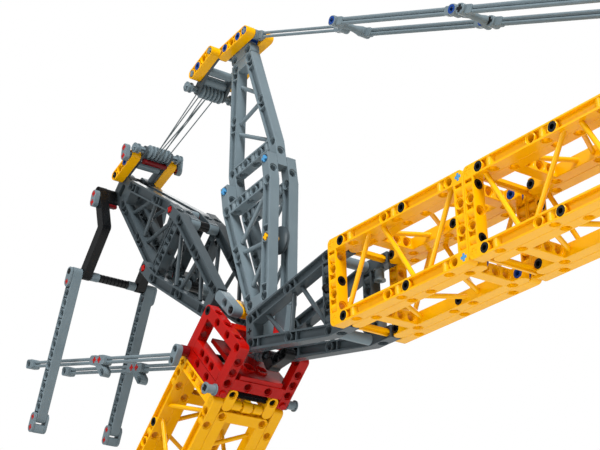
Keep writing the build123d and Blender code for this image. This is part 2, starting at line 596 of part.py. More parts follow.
# ---- tackle blocks ----
TACKLE = (BLOCK_START[0] - TIP_BLOCK[0], BLOCK_START[1] - TIP_BLOCK[1])
TACKLE_ANGLE = degrees(atan2(TACKLE[1], TACKLE[0]))
BLOCK_REACH = 4             # sheaves, from the block's pivot
UPPER_SHEAVES_UP = 0.75     # they hang below the line of the upper block's arms
PLATE_Y = 1.4               # thin plates inside the arms
PLATE_DEPTH = M / 4
STACK_R = 4.9               # sheaves in the tackle blocks
UPPER_SHEAVES = shifted(BLOCK_START, TACKLE_ANGLE + 180, BLOCK_REACH, UPPER_SHEAVES_UP)
LOWER_SHEAVES = shifted(TIP_BLOCK, TACKLE_ANGLE, BLOCK_REACH)
for prefix, place, angle, sheave_place in (
        ("upper_block", BLOCK_START, TACKLE_ANGLE + 180, UPPER_SHEAVES),
        ("lower_block", TIP_BLOCK, TACKLE_ANGLE, LOWER_SHEAVES)):
    with BuildPart() as block_arms:
        for y in (-2, 2):
            liftarm(place, angle, y, 0, 3, (0, 1, 2), SLIM)
    save(block_arms, f"{prefix}_arms")
    tie_place = shifted(place, angle, 2)
    plate = (sheave_place[0] - tie_place[0], sheave_place[1] - tie_place[1])
    plate_len = hypot(*plate)
    with BuildPart() as block_plates:
        for y in (-PLATE_Y, PLATE_Y):
            connector(tie_place, degrees(atan2(plate[1], plate[0])), y, -0.5, plate_len + 0.5, (plate_len,),
                      PLATE_DEPTH)
        tie_y = PLATE_Y - PLATE_DEPTH / 2 / M
        axle(tie_place, -tie_y, tie_y, 0.35 * M)
    save(block_plates, f"{prefix}_plates")
    with BuildPart() as sheaves:
        sheave_stack(sheave_place, 1.2, 6, STACK_R)
        axle(sheave_place, -1.5, 1.5)
    save(sheaves, f"{prefix}_sheaves")

# ---- backstays: bent links, cross axle, beams ----
BACK_LEN = 14               # backstay beams, first to last hole
LINK_BEND = shifted(TIP_LINK, -79, 4.0)
LINK_END = shifted(LINK_BEND, 228, 5.0)
with BuildPart() as back_links:
    for y in (-3, 3):
        with BuildSketch(plane_at((0, 0), 0, y)):
            for a, b in ((TIP_LINK, LINK_BEND), (LINK_BEND, LINK_END)):
                span = hypot(b[0] - a[0], b[1] - a[1])
                lean = degrees(atan2(b[1] - a[1], b[0] - a[0]))
                with Locations(((a[0] + b[0]) / 2 * M, (a[1] + b[1]) / 2 * M)):
                    SlotOverall((span + 1) * M, M, rotation=lean)
            with Locations((TIP_LINK[0] * M, TIP_LINK[1] * M)):
                Circle(HOLE_R, mode=Mode.SUBTRACT)
            with Locations((LINK_END[0] * M, LINK_END[1] * M)):
                Circle(HOLE_R, mode=Mode.SUBTRACT)
        extrude(amount=SLIM / 2, both=True)
save(back_links, "back_links")
with BuildPart() as back_axle:
    axle(LINK_END, -4.8, 4.8)
save(back_axle, "back_axle")
with BuildPart() as back_tubes:
    for low in (-2.5, 1.5):
        tube(LINK_END, low, low + 0.95, TUBE_R, AXLE_R)
save(back_tubes, "back_tubes")
for side, y in (("right", -4), ("left", 4)):
    with BuildPart() as back_beam:
        liftarm(LINK_END, BACK_ANGLE, y, 0, BACK_LEN, range(int(BACK_LEN) + 1), SLIM)
    save(back_beam, f"backstay_beam_{side}")

# ---- boom pendants ----
PENDANT_JOINTS = (3.4, 17.2, 31.0)
for side, y in (("right", -2), ("left", 2)):
    with BuildPart() as pendant_rods:
        for begin, end in zip(PENDANT_JOINTS[:-1], PENDANT_JOINTS[1:]):
            for up in (-0.3, 0.3):
                a = shifted(PENDANT_PLACE, PENDANT_ANGLE, begin + 1, up)
                b = shifted(PENDANT_PLACE, PENDANT_ANGLE, end - 1, up)
                round_bar(a, b, y, y, ROD_R)
    save(pendant_rods, f"pendant_rods_{side}")
    with BuildPart() as pendant_links:
        liftarm(PENDANT_PLACE, PENDANT_ANGLE, y, 0, 2, (0, 1), SLIM)
        connector(PENDANT_PLACE, PENDANT_ANGLE, y, 2, PENDANT_JOINTS[0] + 1, (PENDANT_JOINTS[0],), SLIM)
        for along in PENDANT_JOINTS[1:]:
            connector(PENDANT_PLACE, PENDANT_ANGLE, y, along - 1, along + 1, (along,), SLIM)
    save(pendant_links, f"pendant_links_{side}")

# ---- guide pulley inside the front mast ----
PULLEY_R = 9.6              # rim of the guide pulley
with BuildPart() as pulley:
    turned(PULLEY, [(HOLE_R, -0.4), (TUBE_R, -0.4), (TUBE_R, -0.1), (PULLEY_R, -0.1), (PULLEY_R, -0.02),
                    (PULLEY_R - 1.5, 0.06), (PULLEY_R - 1.5, 0.14), (PULLEY_R, 0.22), (PULLEY_R, 0.3),
                    (TUBE_R, 0.3), (TUBE_R, 0.4), (HOLE_R, 0.4)])
save(pulley, "guide_pulley")

for label, place in (("jib pivot", JIB_PIVOT), ("rear pivot", REAR_PIVOT), ("pendant pivot", PENDANT_PLACE),
                     ("upper block pivot", BLOCK_START), ("lower block pivot", TIP_BLOCK),
                     ("link pivot", TIP_LINK), ("backstay pivot", LINK_END), ("nose", NOSE),
                     ("pulley", PULLEY),
                     ("upper sheaves", UPPER_SHEAVES), ("lower sheaves", LOWER_SHEAVES),
                     ("pendant end", shifted(PENDANT_PLACE, PENDANT_ANGLE, PENDANT_JOINTS[-1])),
                     ("backstay end", shifted(LINK_END, BACK_ANGLE, BACK_LEN)), ("stay eye", STAY_EYE)):
    print(f"{label}: x {place[0] * M:.3f} z {place[1] * M:.3f} mm")
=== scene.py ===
"""Looks of the boom head of a toy crawler crane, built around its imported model.

Shapes are written in hole pitches: s runs along a piece, w to its left and t towards the
crane's right side. at() and lying() seat them in the crane's own frame, in metres.
"""
import json
import math

import bpy
from mathutils import Matrix, Vector
from mathutils.geometry import tessellate_polygon


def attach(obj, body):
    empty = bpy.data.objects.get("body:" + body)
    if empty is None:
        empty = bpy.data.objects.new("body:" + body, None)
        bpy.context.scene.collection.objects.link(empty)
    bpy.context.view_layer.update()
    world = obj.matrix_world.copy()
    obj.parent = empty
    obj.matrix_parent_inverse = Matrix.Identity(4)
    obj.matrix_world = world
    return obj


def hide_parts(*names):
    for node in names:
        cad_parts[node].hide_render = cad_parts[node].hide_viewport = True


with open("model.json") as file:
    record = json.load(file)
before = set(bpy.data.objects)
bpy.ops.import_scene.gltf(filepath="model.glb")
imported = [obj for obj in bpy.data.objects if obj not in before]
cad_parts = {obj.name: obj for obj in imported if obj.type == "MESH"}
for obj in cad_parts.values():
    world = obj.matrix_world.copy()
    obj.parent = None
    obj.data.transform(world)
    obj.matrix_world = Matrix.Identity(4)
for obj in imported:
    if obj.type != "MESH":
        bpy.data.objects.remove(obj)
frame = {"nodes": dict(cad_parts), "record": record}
SCENE = bpy.context.scene
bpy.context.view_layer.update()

# ---- sizes, in hole pitches unless a name says otherwise ----
PITCH = 0.008         # metres between two holes
HALF = 0.49           # half of a beam's width
NARROW_OUT = 1 + HALF  # outer edge of rows at w -1 and 1
WIDE_OUT = 3 + HALF   # outer edge of rows at w -3 and 3
WIDE_IN = 3 - HALF    # their inner edge
EDGE = 0.035          # moulded edge, about 0.3 mm
BORE = 0.3            # pin hole
SEAT = 0.3875         # counterbore round a pin hole
SEAT_DEEP = 0.1
CROSS = 0.115         # half width of a cross axle's arm
RING = 0.46           # wall round a hole inside a channel
WEB = 0.17            # half thickness of a channel's floor
OPEN_SIDES = ((-1, -WEB), (WEB, 1))  # what a channel takes away, low to high along t
CHANNEL = 0.34        # half height of a channel
STRUT = 0.19          # round lattice strut
ROUND = 20            # sides of a hole

BOOM_ANGLE = 42.0     # degrees up from the jib, which lies level
REAR_ANGLE = 133.6
FRONT_ANGLE = 97.0
PENDANT_ANGLE = 165.2
BACK_ANGLE = 244.5
LINK_ANGLE = -79.0    # upper part of the bent links
SECTION = 14          # first to last row of a lattice section
FOOT = 10             # first to last row of a tapered frame
EAR = 2               # its ears, past the last row


def pivot(name):
    """A joint's place (x, z) in the crane, in hole pitches."""
    for joint in frame["record"]["behaviour"]["joints"]:
        if joint["name"] == name:
            return joint["pos_m"][0] / PITCH, joint["pos_m"][2] / PITCH


# ---- outlines and closed shapes: (corners, faces) ----
def inset(loop, depth):
    """The outline moved inwards by a depth; the outline runs anticlockwise."""
    moved = []
    for index, here in enumerate(loop):
        before = (Vector(here) - Vector(loop[index - 1])).normalized()
        after = (Vector(loop[(index + 1) % len(loop)]) - Vector(here)).normalized()
        left = Vector((-before.y, before.x)) + Vector((-after.y, after.x))
        scale = depth / max(0.3, 1 + before.dot(after))
        moved.append((here[0] + left.x * scale, here[1] + left.y * scale))
    return moved


def arc(s, w, radius, first, last, steps):
    """Points of an arc, its two ends included; angles in degrees."""
    turns = [math.radians(first + (last - first) * k / steps) for k in range(steps + 1)]
    return [(s + radius * math.cos(turn), w + radius * math.sin(turn)) for turn in turns]


def rounded(s0, s1, w0, w1, radius=0.3, steps=4):
    """Rectangle with round corners."""
    corners = ((s1 - radius, w0 + radius, -90), (s1 - radius, w1 - radius, 0),
               (s0 + radius, w1 - radius, 90), (s0 + radius, w0 + radius, 180))
    return [point for s, w, turn in corners for point in arc(s, w, radius, turn, turn + 90, steps)]


def round_ended(first, last, radius=HALF, steps=8):
    """Outline of a beam whose two ends are half circles round its first and last hole."""
    return arc(last, 0, radius, -90, 90, steps) + arc(first, 0, radius, 90, 270, steps)


def box(s0, s1, w0, w1):
    return [(s0, w0), (s1, w0), (s1, w1), (s0, w1)]


def plus(reach=BORE, arm=CROSS):
    """Outline of a cross axle."""
    return [(reach, -arm), (reach, arm), (arm, arm), (arm, reach), (-arm, reach), (-arm, arm),
            (-reach, arm), (-reach, -arm), (-arm, -arm), (-arm, -reach), (arm, -reach), (arm, -arm)]


def slab(loop, low, high, edge=EDGE):
    """Closed plate between two heights, with moulded edges all round."""
    if edge:
        narrow = inset(loop, edge)
        rings = ((narrow, low), (loop, low + edge), (loop, high - edge), (narrow, high))
    else:
        narrow = loop
        rings = ((loop, low), (loop, high))
    count = len(loop)
    corners = [(s, w, t) for ring, t in rings for s, w in ring]
    faces = []
    for level in range(len(rings) - 1):
        base = level * count
        for k in range(count):
            after = (k + 1) % count
            faces.append((base + k, base + after, base + count + after, base + count + k))
    top = (len(rings) - 1) * count
    for a, b, c in tessellate_polygon([[Vector((s, w, 0)) for s, w in narrow]]):
        area = ((narrow[b][0] - narrow[a][0]) * (narrow[c][1] - narrow[a][1])
                - (narrow[c][0] - narrow[a][0]) * (narrow[b][1] - narrow[a][1]))
        if area < 0:
            b, c = c, b
        faces.append((top + a, top + b, top + c))
        faces.append((a, c, b))
    return corners, faces


def ring(radius, t, sides):
    """Corners of a circle about t."""
    turns = [2 * math.pi * k / sides for k in range(sides)]
    return [(radius * math.cos(turn), radius * math.sin(turn), t) for turn in turns]


def turned(profile, sides=ROUND):
    """Closed solid of revolution about t; the profile runs upwards, from the axis back to the axis."""
    corners, faces, rows = [], [], []
    for radius, t in profile:
        if radius == 0:
            rows.append([len(corners)] * sides)
            corners.append((0, 0, t))
        else:
            rows.append(list(range(len(corners), len(corners) + sides)))
            corners += ring(radius, t, sides)
    for low, high in zip(rows, rows[1:]):
        for k in range(sides):
            after = (k + 1) % sides
            faces.append(tuple(dict.fromkeys((low[k], low[after], high[after], high[k]))))
    return corners, faces


def sleeve(profile, sides=ROUND):
    """Closed ring of revolution about t; the profile is a loop clear of the axis, run anticlockwise."""
    corners = [corner for radius, t in profile for corner in ring(radius, t, sides)]
    faces = []
    for row in range(len(profile)):
        above = (row + 1) % len(profile)
        for k in range(sides):
            after = (k + 1) % sides
            faces.append((row * sides + k, row * sides + after, above * sides + after, above * sides + k))
    return corners, faces


def drum(radius, low, high, sides=ROUND):
    """Plain round bar along t."""
    return turned([(0, low), (radius, low), (radius, high), (0, high)], sides)


def rod(low, high, radius, edge=0.03, sides=16):
    """Round bar along t with softened ends."""
    return turned([(0, low), (radius - edge, low), (radius, low + edge), (radius, high - edge),
                   (radius - edge, high), (0, high)], sides)


def moved(shape, matrix):
    corners, faces = shape
    return [tuple(matrix @ Vector(corner)) for corner in corners], faces


TURNS = {"t": Matrix.Identity(4), "w": Matrix.Rotation(math.radians(-90), 4, "X"),
         "s": Matrix.Rotation(math.radians(90), 4, "Y")}


def spot(s, w, t=0.0, axis="t"):
    """Place inside a piece, with the axis that a hole or a round bar there runs along."""
    return Matrix.Translation((s, w, t)) @ TURNS[axis]


def between(start, end, radius, sides=12):
    """Round strut between two points of a piece."""
    a, b = Vector(start), Vector(end)
    seat = Matrix.Translation(a) @ (b - a).to_track_quat("Z", "Y").to_matrix().to_4x4()
    return moved(drum(radius, 0, (b - a).length, sides), seat)


def pin_hole(half=HALF):
    """Cutter for a pin hole along t, with its counterbore at both mouths."""
    lip = 0.03
    out = half + lip
    inner = half - SEAT_DEEP
    return turned([(0, -out), (SEAT + 2 * lip, -out), (SEAT, -half + lip), (SEAT, -inner), (BORE, -inner),
                   (BORE, inner), (SEAT, inner), (SEAT, half - lip), (SEAT + 2 * lip, out), (0, out)])


def hole(s, w, axis="t", half=HALF):
    """Cutter for a pin hole at a place of a piece."""
    return moved(pin_hole(half), spot(s, w, 0, axis))


def round_cut(s, w=0, radius=BORE, sides=ROUND):
    """Cutter for a plain round hole right through a thin piece."""
    return moved(drum(radius, -1, 1, sides), spot(s, w))


def cross_cut(s, reach=0.26):
    """Cutter for a cross hole right through a thin piece."""
    return moved(slab(plus(reach), -1, 1, 0), spot(s, 0))


def cross_hole(half=HALF):
    return slab(plus(), -half - 0.05, half + 0.05, 0)


def cross_axle(low, high):
    return slab(plus(BORE - 0.01, CROSS - 0.01), low, high, 0.02)


def pin(reach=1.0):
    """Friction pin: hollow ends, each with a rim that sits in its counterbore."""
    end, seat, floor = reach - 0.02, reach - SEAT_DEEP, reach - 0.35
    return turned([(0, -floor), (0.2, -floor), (0.2, -end), (0.37, -end), (0.37, -seat), (0.285, -seat),
                   (0.285, seat), (0.37, seat), (0.37, end), (0.2, end), (0.2, floor), (0, floor)], 16)


def bush(low, high, waist=0.34, bore=0.2, rim=0.48, flange=0.12):
    """Bush: two thin flanges and a waist, on a cross axle."""
    return sleeve([(bore, low), (rim, low), (rim, low + flange), (waist, low + flange),
                   (waist, high - flange), (rim, high - flange), (rim, high), (bore, high)])


def tube(low, high, outer=0.44, inner=0.29):
    return sleeve([(inner, low), (outer - 0.03, low), (outer, low + 0.03), (outer, high - 0.03),
                   (outer - 0.03, high), (inner, high)])


# ---- solid modelling ----
JOIN, CUT = "UNION", "DIFFERENCE"


def to_mesh(shapes, name="shape"):
    corners, faces = [], []
    for points, polygons in shapes:
        base = len(corners)
        corners += points
        faces += [tuple(base + k for k in polygon) for polygon in polygons]
    mesh = bpy.data.meshes.new(name)
    mesh.from_pydata(corners, [], faces)
    return mesh


def carve(*steps):
    """One closed mesh from steps of (JOIN or CUT, shapes that don't meet each other)."""
    made = []
    for operation, shapes in steps:
        if shapes:
            helper = bpy.data.objects.new("helper", to_mesh(shapes))
            SCENE.collection.objects.link(helper)
            made.append((operation, helper))
    body = made[0][1]
    for operation, helper in made[1:]:
        cut = body.modifiers.new("cut", "BOOLEAN")
        cut.operation = operation
        cut.object = helper
        cut.solver = "MANIFOLD"
    depsgraph = bpy.context.evaluated_depsgraph_get()
    mesh = bpy.data.meshes.new_from_object(body.evaluated_get(depsgraph))
    for _, helper in made:
        bpy.data.objects.remove(helper, do_unlink=True)
    return mesh


def drilled(shape, *holes):
    """One closed mesh of a shape and holes in it that don't meet each other."""
    return carve((JOIN, [shape]), (CUT, holes))


def beam_steps(rows):
    """Channels, walls and holes of rows of stations.

    A row is (matrix, first station, marks): o pin hole through t, b pin hole through w, x cross
    hole, - channel alone, = solid. Channels run from hole to hole."""
    channels, walls, bosses, through, across, crosses = [], [], [], [], [], []
    for matrix, first, marks in rows:
        start = None
        for index, mark in enumerate(marks + "="):
            s = first + index
            if mark in "ob-" and start is None:
                start = s if mark == "o" else s - 0.45
            if mark not in "ob-" and start is not None:
                end = s - 1 if marks[index - 1] == "o" else s - 0.55
                for side in OPEN_SIDES:
                    channels.append(moved(slab(box(start, end, -CHANNEL, CHANNEL), *side, 0), matrix))
                start = None
            if mark == "o":
                walls.append(moved(rod(-HALF, HALF, RING, EDGE, ROUND), matrix @ spot(s, 0)))
                through.append(moved(pin_hole(), matrix @ spot(s, 0)))
            if mark == "b":
                bosses.append(moved(drum(RING, -0.42, 0.42), matrix @ spot(s, 0, 0, "w")))
                across.append(moved(pin_hole(), matrix @ spot(s, 0, 0, "w")))
            if mark == "x":
                crosses.append(moved(cross_hole(), matrix @ spot(s, 0)))
    return ([(CUT, channels), (JOIN, walls), (JOIN, bosses)],
            [(CUT, through), (CUT, across), (CUT, crosses)])


def along(s, w, angle=0.0):
    """Matrix of a row of stations inside a piece, turned about t."""
    return Matrix.Translation((s, w, 0)) @ Matrix.Rotation(math.radians(angle), 4, "Z")


# ---- the moulded pieces ----
def section_side():
    """Side of a section: a frame of two chords and two crossbars, with three struts."""
    rows = [(along(0, w), 0, "xob---obo---box") for w in (-3, 3)]
    rows += [(along(s, 0, 90), -3, "=bobob=") for s in (0, SECTION)]
    channel, holes = beam_steps(rows)
    struts = [between((a, -2.6, 0), (b, 2.6, 0), STRUT) for a, b in ((1.1, 3.9), (8.6, 5.4), (10.0, 12.8))]
    return carve((JOIN, [slab(rounded(-HALF, SECTION + HALF, -WIDE_OUT, WIDE_OUT, 0.42), -HALF, HALF)]),
                 (CUT, [slab(box(HALF, SECTION - HALF, -WIDE_IN, WIDE_IN), -1, 1, 0)]),
                 *channel, *[(JOIN, [strut]) for strut in struts], *holes)


def section_panel(first):
    """Panel of a section: two round-ended chords from station first on, crossbars at 3 and 13."""
    chords = [moved(slab(round_ended(first, first + SECTION - 1), -HALF, HALF), along(0, w)) for w in (-2, 2)]
    bars = [slab(box(s - 0.48, s + 0.48, -1.8, 1.8), -HALF + 0.01, HALF - 0.01) for s in (3, SECTION - 1)]
    flat, side, end = [], [], []
    for w in (-2, 2):
        flat += [hole(s, w) for s in (3, 7, 9, SECTION - 1)]
        side += [hole(s, w, "w") for s in (1, 8, SECTION if first else 0)]
    for s in (3, SECTION - 1):
        end += [hole(s, w, "s") for w in (-1, 0, 1)]
    struts = [between((a, -1.6, 0), (b, 1.6, 0), STRUT) for a, b in ((5.5, 3.9), (6.9, 8.8), (11.6, 10.0))]
    return carve((JOIN, chords), (JOIN, bars), *[(JOIN, [strut]) for strut in struts],
                 (CUT, flat), (CUT, side), (CUT, end))


def tapered(half=HALF):
    """Tapered lattice frame: narrow end at s = 0, wide crossbar at FOOT, then two ears."""
    bar, end = FOOT + HALF, FOOT + EAR + HALF
    outline = [(-HALF, NARROW_OUT), (-HALF, -NARROW_OUT), (FOOT, -WIDE_OUT), (end, -WIDE_OUT),
               (end, -WIDE_IN), (bar, -WIDE_IN), (bar, WIDE_IN), (end, WIDE_IN), (end, WIDE_OUT),
               (FOOT, WIDE_OUT)]
    window = [(HALF, -0.6), (FOOT - HALF, -2.42), (FOOT - HALF, 2.42), (HALF, 0.6)]
    lean = math.degrees(math.atan2(2, FOOT))
    long = math.hypot(2, FOOT)
    channels, walls, through = [], [], []
    for side in (-1, 1):
        seat = along(0, side, side * lean)
        for start, stop in ((0, long / 2), (long / 2, long)):
            shallow = box(start + 1.1, stop - 0.3, -CHANNEL, CHANNEL)
            deep = box(start + 0.3, start + 1.0, -CHANNEL, CHANNEL)
            for wide, pocket in zip(OPEN_SIDES, ((-1, -0.06), (0.06, 1))):
                channels += [moved(slab(shallow, *wide, 0), seat), moved(slab(deep, *pocket, 0), seat)]
        for s in (0, long / 2, long):
            walls.append(moved(rod(-half, half, RING, EDGE, ROUND), seat @ spot(s, 0)))
            through.append(moved(pin_hole(half), seat @ spot(s, 0)))
        through.append(hole(FOOT + EAR, side * 3, half=half))
    channel, holes = beam_steps([(along(FOOT, 0, 90), -3, "=bobob=")])
    ears = [hole(FOOT + 1, side * 3, "w") for side in (-1, 1)]
    struts = [between((a, -0.5 - 0.2 * a, 0), (b, 0.5 + 0.2 * b, 0), STRUT)
              for a, b in ((3.8, 1.9), (4.9, 5.4), (9.4, 6.4))]
    return carve((JOIN, [slab(outline, -half, half)]), (CUT, [slab(window, -1, 1, 0)]),
                 (CUT, channels), *channel, (JOIN, walls),
                 *[(JOIN, [strut]) for strut in struts],
                 (CUT, through), (CUT, ears), *holes)


def beam(first, marks):
    """Straight round-ended beam with its stations."""
    channel, holes = beam_steps([(along(0, 0), first, marks)])
    return carve((JOIN, [slab(round_ended(first, first + len(marks) - 1), -HALF, HALF)]), *channel, *holes)


def plain_beam(outline, pins, axles=(), half=HALF):
    """Thick beam with pin holes and cross holes, and no channel."""
    return carve((JOIN, [slab(outline, -half, half)]), (CUT, [hole(s, 0, half=half) for s in pins]),
                 (CUT, [moved(cross_hole(half), spot(s, 0)) for s in axles]))


# ---- places in the crane ----
def shifted(place, angle, s, w=0.0):
    """The place reached from place by going along an angle and then to its left."""
    cos, sin = math.cos(math.radians(angle)), math.sin(math.radians(angle))
    return place[0] + s * cos - w * sin, place[1] + s * sin + w * cos


def at(place, angle=0.0, y=0.0):
    """Seats a piece upright: s along the angle, w to its left, t towards the right side."""
    cos, sin = math.cos(math.radians(angle)) * PITCH, math.sin(math.radians(angle)) * PITCH
    x, z = place[0] * PITCH, place[1] * PITCH
    return Matrix(((cos, -sin, 0, x), (0, 0, -PITCH, y * PITCH), (sin, cos, 0, z), (0, 0, 0, 1)))


def lying(place, angle=0.0, y=0.0):
    """Seats a piece flat across the crane: s along the angle, w to the crane's left, t upwards."""
    cos, sin = math.cos(math.radians(angle)) * PITCH, math.sin(math.radians(angle)) * PITCH
    x, z = place[0] * PITCH, place[1] * PITCH
    return Matrix(((cos, 0, -sin, x), (0, PITCH, 0, y * PITCH), (sin, 0, cos, z), (0, 0, 0, 1)))


# a piece mirrored end for end, and one mirrored from its left to its right
BACKWARDS = Matrix.Scale(-1, 4, (1, 0, 0))
OVER = Matrix.Scale(-1, 4, (0, 1, 0))


def across(place, shape):
    """Puts a shape turned about t on an axle line; its own t runs to the crane's right side."""
    return shape, at(place)


def toward(start, end, y=0.0):
    """Seat at start, with s running towards end."""
    return at(start, math.degrees(math.atan2(end[1] - start[1], end[0] - start[0])), y)


# ---- materials ----
def linear(code):
    """sRGB hex to linear colour."""
    values = [int(code[k:k + 2], 16) / 255 for k in (1, 3, 5)]
    return tuple(v / 12.92 if v <= 0.04045 else ((v + 0.055) / 1.055) ** 2.4 for v in values) + (1.0,)


def add(tree, kind, settings=(), **sockets):
    """Adds a node with its settings; a socket is given a value, or (node, output) to link."""
    made = tree.nodes.new(kind)
    for name, value in settings:
        setattr(made, name, value)
    for name, value in sockets.items():
        socket = made.inputs[name.replace("_", " ")]
        if isinstance(value, tuple) and isinstance(value[0], bpy.types.Node):
            tree.links.new(value[0].outputs[value[1]], socket)
        else:
            socket.default_value = value
    return made


def blank_material(name):
    """A material with no nodes yet, and its node tree."""
    material = bpy.data.materials.new(name)
    material.use_nodes = True
    material.node_tree.nodes.clear()
    return material, material.node_tree


def moulded_abs(name, code, shade, roughness=0.2):
    """Injection-moulded ABS: one even colour with a faint flow mottle about 11 mm across, and a glossy
    skin that is a little less than a mirror, with a swell about 1 mm across, drawn coarser than real."""
    material, tree = blank_material(name)
    place = add(tree, "ShaderNodeTexCoord")
    flow = add(tree, "ShaderNodeTexNoise", Vector=(place, "Object"), Scale=90.0, Detail=2.0)
    skin = add(tree, "ShaderNodeTexNoise", Vector=(place, "Object"), Scale=900.0, Detail=2.0)
    tint = add(tree, "ShaderNodeMix", (("data_type", "RGBA"),))
    tree.links.new(flow.outputs["Fac"], tint.inputs["Factor"])
    tint.inputs[6].default_value = linear(code)
    tint.inputs[7].default_value = linear(shade)
    gloss = add(tree, "ShaderNodeMapRange", Value=(flow, "Fac"),
                To_Min=roughness - 0.04, To_Max=roughness + 0.06)
    swell = add(tree, "ShaderNodeBump", Height=(skin, "Fac"), Strength=0.12, Distance=0.00006)
    shader = add(tree, "ShaderNodeBsdfPrincipled", Roughness=(gloss, "Result"), Normal=(swell, "Normal"),
                 IOR=1.54)
    shader.inputs["Specular IOR Level"].default_value = 0.2
    tree.links.new(tint.outputs[2], shader.inputs["Base Color"])
    add(tree, "ShaderNodeOutputMaterial", Surface=(shader, "BSDF"))
    return material


def braided_cord(name, code):
    """Braided polyester cord: dull, with fine slanting strands."""
    material, tree = blank_material(name)
    place = add(tree, "ShaderNodeTexCoord")
    # strands lie 0.3 mm apart; drawn at 0.6 mm so that they show; a wave repeats every tau / 20 at scale 1
    strands = add(tree, "ShaderNodeTexWave", Vector=(place, "Object"), Scale=math.tau / 20 / 0.0006,
                  Distortion=1.0)
    lift = add(tree, "ShaderNodeBump", Height=(strands, "Fac"), Strength=0.4, Distance=0.0001)
    shader = add(tree, "ShaderNodeBsdfPrincipled", Roughness=0.7, Normal=(lift, "Normal"))
    shader.inputs["Base Color"].default_value = linear(code)
    add(tree, "ShaderNodeOutputMaterial", Surface=(shader, "BSDF"))
    return material


# braided polyester cord: dull grey line
CORD = braided_cord("grey braided cord", "#5E686C")
# dyed in the mass: warm, deep yellow that stays saturated in its shadows
YELLOW = moulded_abs("yellow moulded ABS", "#F0B200", "#E8A500")
# bright signal red, a little darker where the flow lines meet
RED = moulded_abs("red moulded ABS", "#AE0C05", "#980803")
# wine red of the bushes and studs
DARK_RED = moulded_abs("dark red moulded ABS", "#6E1014", "#5E0B10")
# bluish dark grey of the jib foot and the rear mast
DARK_GREY = moulded_abs("dark grey moulded ABS", "#454E53", "#3C454A")
# bluish light grey of the front mast, stays and backstays
LIGHT_GREY = moulded_abs("light grey moulded ABS", "#707E85", "#647279")
# black pins and links: all that shows of them is their gloss
BLACK = moulded_abs("black moulded ABS", "#101214", "#0B0C0E", 0.25)
# deep blue friction pins
BLUE = moulded_abs("blue moulded ABS", "#12408F", "#0E3577")
# paler blue of the pins that are half a cross axle
PALE_BLUE = moulded_abs("pale blue moulded ABS", "#4F97C8", "#4689BA")


def fit(name, material, body, parts, replaces=()):
    """Makes one object from (mesh or closed shape, matrix) parts, seats it on its body and hides the CAD
    parts that it replaces."""
    whole = bpy.data.meshes.new(name)
    corners, faces = [], []
    for source, matrix in parts:
        if isinstance(source, tuple):
            points, polygons = source
        else:
            points = [tuple(corner.co) for corner in source.vertices]
            polygons = [tuple(polygon.vertices) for polygon in source.polygons]
        base = len(corners)
        corners += [tuple(matrix @ Vector(point)) for point in points]
        flip = matrix.to_3x3().determinant() < 0
        faces += [tuple(base + k for k in (polygon[::-1] if flip else polygon)) for polygon in polygons]
    whole.from_pydata(corners, [], faces)
    whole.shade_smooth()
    whole.set_sharp_from_angle(angle=math.radians(32))
    whole.materials.append(material)
    piece = bpy.data.objects.new(name, whole)
    SCENE.collection.objects.link(piece)
    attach(piece, body)
    if replaces:
        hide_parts(*replaces)
    return piece


SIDE = section_side()
PANEL = section_panel(1)
FRONT_PANEL = section_panel(0)
TAPER = tapered()
PIN = pin()
SHORT_PIN = pin(0.5)

JIB_PIVOT = pivot("jib_luff")
REAR_PIVOT = pivot("rear_mast_lean")
BLOCK_START = pivot("upper_block_swing")
TIP_BLOCK = pivot("lower_block_swing")
TIP_LINK = pivot("back_links_swing")
LINK_END = pivot("backstay_right_swing")
UPPER_SHEAVES = pivot("upper_sheaves_spin")
LOWER_SHEAVES = pivot("lower_sheaves_spin")
PENDANT_PLACE = pivot("pendant_right_swing")
PULLEY = pivot("guide_pulley_spin")
NOSE = pivot("jib_head_sheave_spin")

# ---- boom section ----
ORIGIN = (0.0, 0.0)
BOOM = at(ORIGIN, BOOM_ANGLE)


def up_boom(s, w=0):
    """A place in the crane, from a row of the boom."""
    return shifted(ORIGIN, BOOM_ANGLE, s, w)


fit("boom_section", YELLOW, "boom",
    [(SIDE, at(ORIGIN, BOOM_ANGLE, y) @ OVER) for y in (-3, 3)]
    + [(FRONT_PANEL, lying(up_boom(0, -3), BOOM_ANGLE) @ OVER),
       (PANEL, lying(up_boom(SECTION, 3), BOOM_ANGLE) @ BACKWARDS)],
    ["boom_side_right", "boom_side_left", "boom_panels"])
fit("boom_section_pins", BLACK, "boom",
    [(PIN, BOOM @ spot(s, w, t)) for s in (1, 8) for w in (-3, 3) for t in (-2.5, 2.5)])

# ears at the section's front corners, the tubes and the barrel between them, and the arm past them
BOOM_TOP = (SECTION, -3)
EAR_PIECE = drilled(slab(round_ended(0, 1.05), -HALF + 0.02, HALF - 0.02), hole(1.05, 0))
BARREL = sleeve([(0.3, -0.45), (0.47, -0.45), (0.5, -0.4), (0.5, 0.4), (0.47, 0.45), (0.3, 0.45)])
fit("boom_ears", YELLOW, "boom",
    [(EAR_PIECE, BOOM @ spot(*BOOM_TOP, t, "w")) for t in (-2, 2)]
    + [(tube(low, high), BOOM @ spot(*BOOM_TOP)) for low, high in ((0.62, 1.47), (-1.47, -0.62))]
    + [(cross_axle(-3.5, 3.5), BOOM @ spot(*BOOM_TOP)), (BARREL, BOOM @ spot(*BOOM_TOP)),
       (slab(round_ended(0, 1.9, 0.3), -0.3, 0.3), BOOM @ spot(14.35, -2.75) @ along(0, 0, 62))],
    ["boom_ears"])

# ---- boom head: two open frames, inner beams, front beam, floor plate and top beam ----
HEAD = 15       # row of the head's lowest bars
HEAD_ROWS = 4   # from them to its top bars
TOP_BEAM = up_boom(HEAD + HEAD_ROWS)
HEAD_CORNER = up_boom(HEAD, -3)


